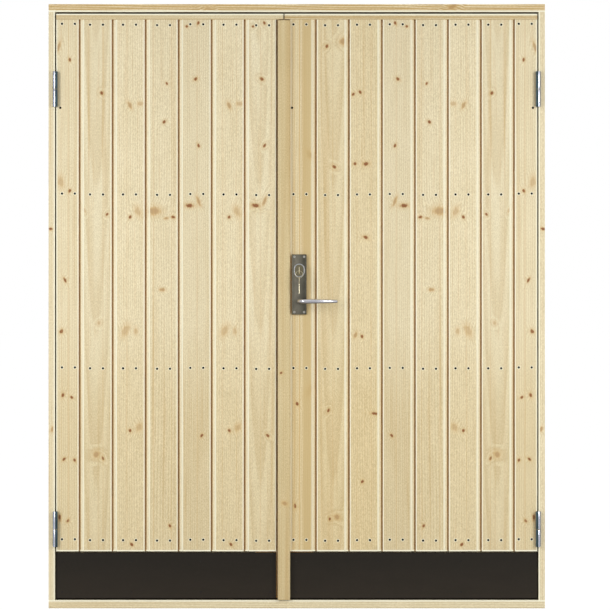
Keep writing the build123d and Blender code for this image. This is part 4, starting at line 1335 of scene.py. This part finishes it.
@dataclass
class LockFurniture:
    """The long plates, the cylinder's ring and face, the keys and the thumb-turn."""

    lock_x: float = LOCK_X
    lever_z: float = LEVER_Z
    cylinder_z: float = 1150.0
    plate_foot: float = 1000.0
    plate_height: float = 205.0
    plate_width: float = 50.0
    outside_face: float = -56.5
    inside_face: float = 8.5
    front: float = -47.5
    back: float = 2.5
    corner: float = 3.0
    corner_steps: int = 5
    bevel: float = 2.5
    bevel_steps: int = 4
    screw_inset: float = 8.5
    screw_radius: float = 3.9
    collar: tuple[float, float] = (13.0, 2.0)
    hub_hole: float = 8.1
    ring_size: tuple[float, float] = (36.8, 46.8)
    oval_size: tuple[float, float] = (30.4, 40.4)
    oval_flat: float = 10.0
    ring_rise: float = 11.0
    ring_bevel: float = 1.6
    ring_steps: tuple[float, ...] = (0.4, 0.7, 0.9, 1.0)
    loop_turns: float = 1.97
    loop_steps: int = 112
    loop_place: Point = (LOCK_X, -90.0, 1136.2)
    loop_radius: float = 12.0
    wire: float = 0.45

    def plate(self, seat: float, face: float) -> BMesh:
        """Makes a long plate with rounded corners, a rounded front edge and a collar at the lever.

        Args:
            seat: Where its back lies.
            face: Where its front lies.

        Returns:
            The plate's mesh.
        """
        work = bmesh.new()
        bmesh.ops.create_cube(work, size=1.0)
        middle = Vector((self.lock_x, (seat + face) / 2, self.plate_foot + self.plate_height / 2))
        bmesh.ops.scale(work, vec=(self.plate_width, abs(face - seat), self.plate_height), verts=work.verts)
        bmesh.ops.translate(work, vec=middle, verts=work.verts)
        corners = [e for e in work.edges if abs(e.verts[0].co.y - e.verts[1].co.y) > 1]
        bmesh.ops.bevel(work, geom=corners, offset=self.corner, segments=self.corner_steps, profile=0.5,
                        affect="EDGES", material=-1)
        rim = [e for e in work.edges if all(abs(v.co.y - face) < 0.01 for v in e.verts)]
        bmesh.ops.bevel(work, geom=rim, offset=self.bevel, segments=self.bevel_steps, profile=0.5,
                        affect="EDGES", material=-1)
        way = OUTWARD if face < seat else INWARD
        radius, rise = self.collar
        profile = ((radius, -1.0), (radius, rise - 0.5), (radius - 0.5, rise), (self.hub_hole, rise),
                   (self.hub_hole, -1.0), (radius, -1.0))
        turned(work, profile, Vector((self.lock_x, face, self.lever_z)), way)
        return work

    def plate_screws(self, face: float, way: Vector) -> BMesh:
        """Makes four cross-head screws near a plate's corners.

        Args:
            face: Where the plate's front lies.
            way: The direction it faces.

        Returns:
            The screws' mesh.
        """
        work = bmesh.new()
        rises = (self.screw_inset, self.plate_height - self.screw_inset)
        corners = [(hand, rise) for hand in (-1, 1) for rise in rises]
        for number, (hand, rise) in enumerate(corners):
            x = self.lock_x + hand * (self.plate_width / 2 - self.screw_inset)
            seat = Vector((x, face, self.plate_foot + rise))
            cross_screw(work, seat, way, self.screw_radius, 17.0 + 31.0 * number)
        return work

    def oval_ring(self) -> BMesh:
        """Makes the pale ring round the cylinder, rounded at its outer edge.

        Returns:
            The ring's mesh.
        """
        work = bmesh.new()
        wide, tall = self.ring_size
        middle = Vector((self.lock_x, self.outside_face, self.cylinder_z))
        foot = oval_rim(work, wide, tall, middle)
        _, edges = step(work, foot, OUTWARD * (self.ring_rise - self.ring_bevel), 1.0, middle)
        for part in self.ring_steps:
            sunk = self.ring_bevel * part
            rise = self.ring_bevel * math.sin(math.acos(1 - part))
            corners, edges = step(work, edges, STILL, 1.0, middle)
            face = self.outside_face - self.ring_rise + self.ring_bevel - rise
            self._fit(corners, wide - 2 * sunk, tall - 2 * sunk, face)
        corners, edges = step(work, edges, STILL, 1.0, middle)
        self._fit(corners, *self.oval_size, self.outside_face - self.ring_rise)
        _, edges = step(work, edges, INWARD * self.ring_rise, 1.0, middle)
        bmesh.ops.bridge_loops(work, edges=foot + edges)
        return work

    def _fit(self, corners: list, wide: float, tall: float, y: float) -> None:
        """Draws an oval rim in to another oval's size.

        Args:
            corners: The rim's vertices.
            wide: The oval's width.
            tall: Its height.
            y: How far in it lies.
        """
        rise = (tall - wide) / 2
        middle = Vector((self.lock_x, y, self.cylinder_z))
        for corner in corners:
            off = corner.co - middle
            off.y = 0
            side = math.copysign(1, off.z)
            span = max(abs(off.z) - self.oval_flat / 2, 0.0) * side
            flat = Vector((off.x, 0, span)).normalized() * wide / 2
            corner.co = middle + flat + Vector((0, 0, side * rise))

    def split_ring(self) -> BMesh:
        """Makes the key ring, a wire coiled twice round.

        Returns:
            The ring's mesh.
        """
        work = bmesh.new()
        middle = Vector(self.loop_place) + OUTWARD * self.wire
        start = middle + Vector((self.loop_radius, 0, 0))
        face = Matrix.Translation(start)
        ring = bmesh.ops.create_circle(work, segments=12, radius=self.wire, matrix=face)
        edges = list({edge for corner in ring["verts"] for edge in corner.link_edges})
        bmesh.ops.contextual_create(work, geom=edges)
        pitch = INWARD * (2 * self.wire / self.loop_steps)
        last = bmesh.ops.spin(work, geom=ring["verts"] + edges, cent=middle, axis=(0, 1, 0),
                              angle=math.tau * self.loop_turns, steps=self.loop_steps, dvec=pitch,
                              use_duplicate=False)["geom_last"]
        _, edges = rim_of(last)
        bmesh.ops.contextual_create(work, geom=edges)
        return work

    def build(self, finishes: Finishes) -> None:
        """Makes the furniture and dresses what stays as it is.

        Args:
            finishes: The shared finishes.
        """
        outside = ("outside", self.front, self.outside_face, OUTWARD)
        inside = ("inside", self.back, self.inside_face, INWARD)
        for word, seat, face, way in (outside, inside):
            plate = settle(f"long_plate_{word}", self.plate(seat, face), finishes.satin, "leaf_right")
            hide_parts(f"{word}_plate")
            settle(f"plate_screws_{word}", self.plate_screws(face, way), finishes.screw, "leaf_right")
        ring = settle("oval_ring", self.oval_ring(), finishes.pale_ring, "leaf_right")
        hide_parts("cylinder_ring")
        loop = settle("split_ring", self.split_ring(), finishes.key, "key_turn")
        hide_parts("key_loop")
        dress(finishes.brass, "cylinder_housing", "cylinder_plug")
        dress(finishes.key, "inserted_key", "spare_key")
        soften(0.4, "inserted_key", "spare_key")
        dress(finishes.pale_ring, "thumb_turn")
        soften(0.8, "thumb_turn")
        dress(finishes.lock, "lock_case", "latch_bolt", "dead_bolt", "lever_spindle", "strike_plate")


@dataclass
class Ironwork:
    """The lift-off hinges and the slide bolts on the left leaf's back."""

    hinge_nodes: tuple[str, ...] = ("frame_hinge_halves", "left_hinge_halves", "right_hinge_halves")
    bolt_nodes: tuple[str, ...] = ("bolt_housings", "bolt_keepers", "top_bolt", "bottom_bolt")

    def build(self, finishes: Finishes) -> None:
        """Dresses the ironwork.

        Args:
            finishes: The shared finishes.
        """
        dress(finishes.hinge, *self.hinge_nodes)
        dress(finishes.zinc, *self.bolt_nodes)
        dress(finishes.brass, "hinge_washers")
        soften(0.5, *self.hinge_nodes)
        soften(0.6, *self.bolt_nodes)


@dataclass
class Studio:
    """The floor, the lamps, the white surround and the camera."""

    camera_place: Point = (0.0281, -9.0475, 1.0326)
    lens: float = 156.0
    floor_size: float = 160.0
    side_lamp: Point = (2.6, -2.6, 1.7)
    side_aim: float = 0.42
    side_power: float = 22.0
    back_lamp: Point = (1.9, 3.2, 1.7)
    back_aim: float = 0.3
    back_power: float = 17.0
    lamp_size: tuple[float, float] = (0.7, 2.2)
    lamp_spread: float = 110.0
    fill: float = 0.36
    fill_colour: Colour = (1.0, 0.99, 0.97, 1)
    paper_stops: tuple[tuple[float, Colour], ...] = ((0.3, grey(0.8)), (0.7, grey(0.84)))
    paper_glow: float = 1.08
    paper_share: float = 0.9

    def build(self) -> None:
        """Sets up the studio."""
        self.floor()
        self.world()
        side = ("lamp", self.side_lamp, self.side_aim, self.side_power)
        back = ("lamp_back", self.back_lamp, self.back_aim, self.back_power)
        for name, (x, y, z), aim, power in (side, back):
            for hand, word in ((-1, "left"), (1, "right")):
                self.lamp(f"{name}_{word}", (hand * x, y, z), (hand * aim, 0, 1.0), power)
        self.camera()
        bpy.context.scene.view_settings.view_transform = "Standard"

    def floor(self) -> None:
        """A wide pale floor that shows white to the camera and keeps the shadow."""
        work = bmesh.new()
        bmesh.ops.create_grid(work, x_segments=1, y_segments=1, size=self.floor_size / 2)
        mesh = bpy.data.meshes.new("floor")
        work.to_mesh(mesh)
        work.free()
        bench = Workbench("floor_paper")
        diffuse = bench.node("ShaderNodeBsdfDiffuse")
        grain = bench.noise(bench.place, (300, 300, 300), 2, 1.0)
        bench.feed(diffuse.inputs["Color"], bench.ramp(grain, self.paper_stops))
        glow = bench.node("ShaderNodeEmission")
        glow.inputs["Color"].default_value = WHITE
        glow.inputs["Strength"].default_value = self.paper_glow
        path = bench.node("ShaderNodeLightPath")
        seen = bench.math("MAXIMUM", path.outputs["Is Camera Ray"], path.outputs["Is Glossy Ray"])
        seen = bench.math("MAXIMUM", seen, path.outputs["Is Transmission Ray"])
        mix = bench.node("ShaderNodeMixShader")
        bench.feed(mix.inputs[0], bench.math("MULTIPLY", seen, self.paper_share))
        bench.feed(mix.inputs[1], diffuse.outputs[0])
        bench.feed(mix.inputs[2], glow.outputs[0])
        output = bench.node("ShaderNodeOutputMaterial")
        bench.feed(output.inputs["Surface"], mix.outputs[0])
        mesh.materials.append(bench.material)
        floor = bpy.data.objects.new("floor", mesh)
        bpy.context.scene.collection.objects.link(floor)

    def world(self) -> None:
        """Soft light from all round, and white where the camera or a reflection sees it."""
        world = bpy.data.worlds.new("studio")
        bpy.context.scene.world = world
        world.use_nodes = True
        tree = world.node_tree
        tree.nodes.clear()
        path = tree.nodes.new("ShaderNodeLightPath")
        back = tree.nodes.new("ShaderNodeBackground")
        back.inputs["Color"].default_value = WHITE
        soft = tree.nodes.new("ShaderNodeBackground")
        soft.inputs["Color"].default_value = self.fill_colour
        soft.inputs["Strength"].default_value = self.fill
        seen = tree.nodes.new("ShaderNodeMath")
        seen.operation = "MAXIMUM"
        tree.links.new(path.outputs["Is Camera Ray"], seen.inputs[0])
        tree.links.new(path.outputs["Is Glossy Ray"], seen.inputs[1])
        more = tree.nodes.new("ShaderNodeMath")
        more.operation = "MAXIMUM"
        tree.links.new(seen.outputs[0], more.inputs[0])
        tree.links.new(path.outputs["Is Transmission Ray"], more.inputs[1])
        mix = tree.nodes.new("ShaderNodeMixShader")
        tree.links.new(more.outputs[0], mix.inputs[0])
        tree.links.new(soft.outputs[0], mix.inputs[1])
        tree.links.new(back.outputs[0], mix.inputs[2])
        output = tree.nodes.new("ShaderNodeOutputWorld")
        tree.links.new(mix.outputs[0], output.inputs["Surface"])

    def lamp(self, name: str, place: Point, aim: Point, power: float) -> None:
        """Adds a tall soft lamp.

        Args:
            name: The lamp's name.
            place: Where it stands.
            aim: The point it is aimed at.
            power: Its power in watts.
        """
        light = bpy.data.lights.new(name, "AREA")
        light.shape = "RECTANGLE"
        light.size, light.size_y = self.lamp_size
        light.energy = power
        light.spread = math.radians(self.lamp_spread)
        lamp = bpy.data.objects.new(name, light)
        lamp.location = place
        lamp.rotation_euler = (Vector(aim) - Vector(place)).to_track_quat("-Z", "Y").to_euler()
        bpy.context.scene.collection.objects.link(lamp)

    def camera(self) -> None:
        """The camera, level and square to the door."""
        data = bpy.data.cameras.new("camera")
        data.lens = self.lens
        data.sensor_width = 36.0
        data.clip_end = 100.0
        camera = bpy.data.objects.new("camera", data)
        camera.location = self.camera_place
        camera.rotation_euler = (math.radians(90), 0, 0)
        bpy.context.scene.collection.objects.link(camera)
        bpy.context.scene.camera = camera


def main() -> None:
    """Builds the studio and every sub-assembly."""
    logging.basicConfig(level=logging.INFO, format="%(message)s")
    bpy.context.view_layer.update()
    Studio().build()
    finishes = Finishes()
    for assembly in (Boards(), Carcass(), LeverHandle(), LockFurniture(), Ironwork()):
        assembly.build(finishes)
        log.info("%s built", type(assembly).__name__)


if __name__ == "__main__":
    main()
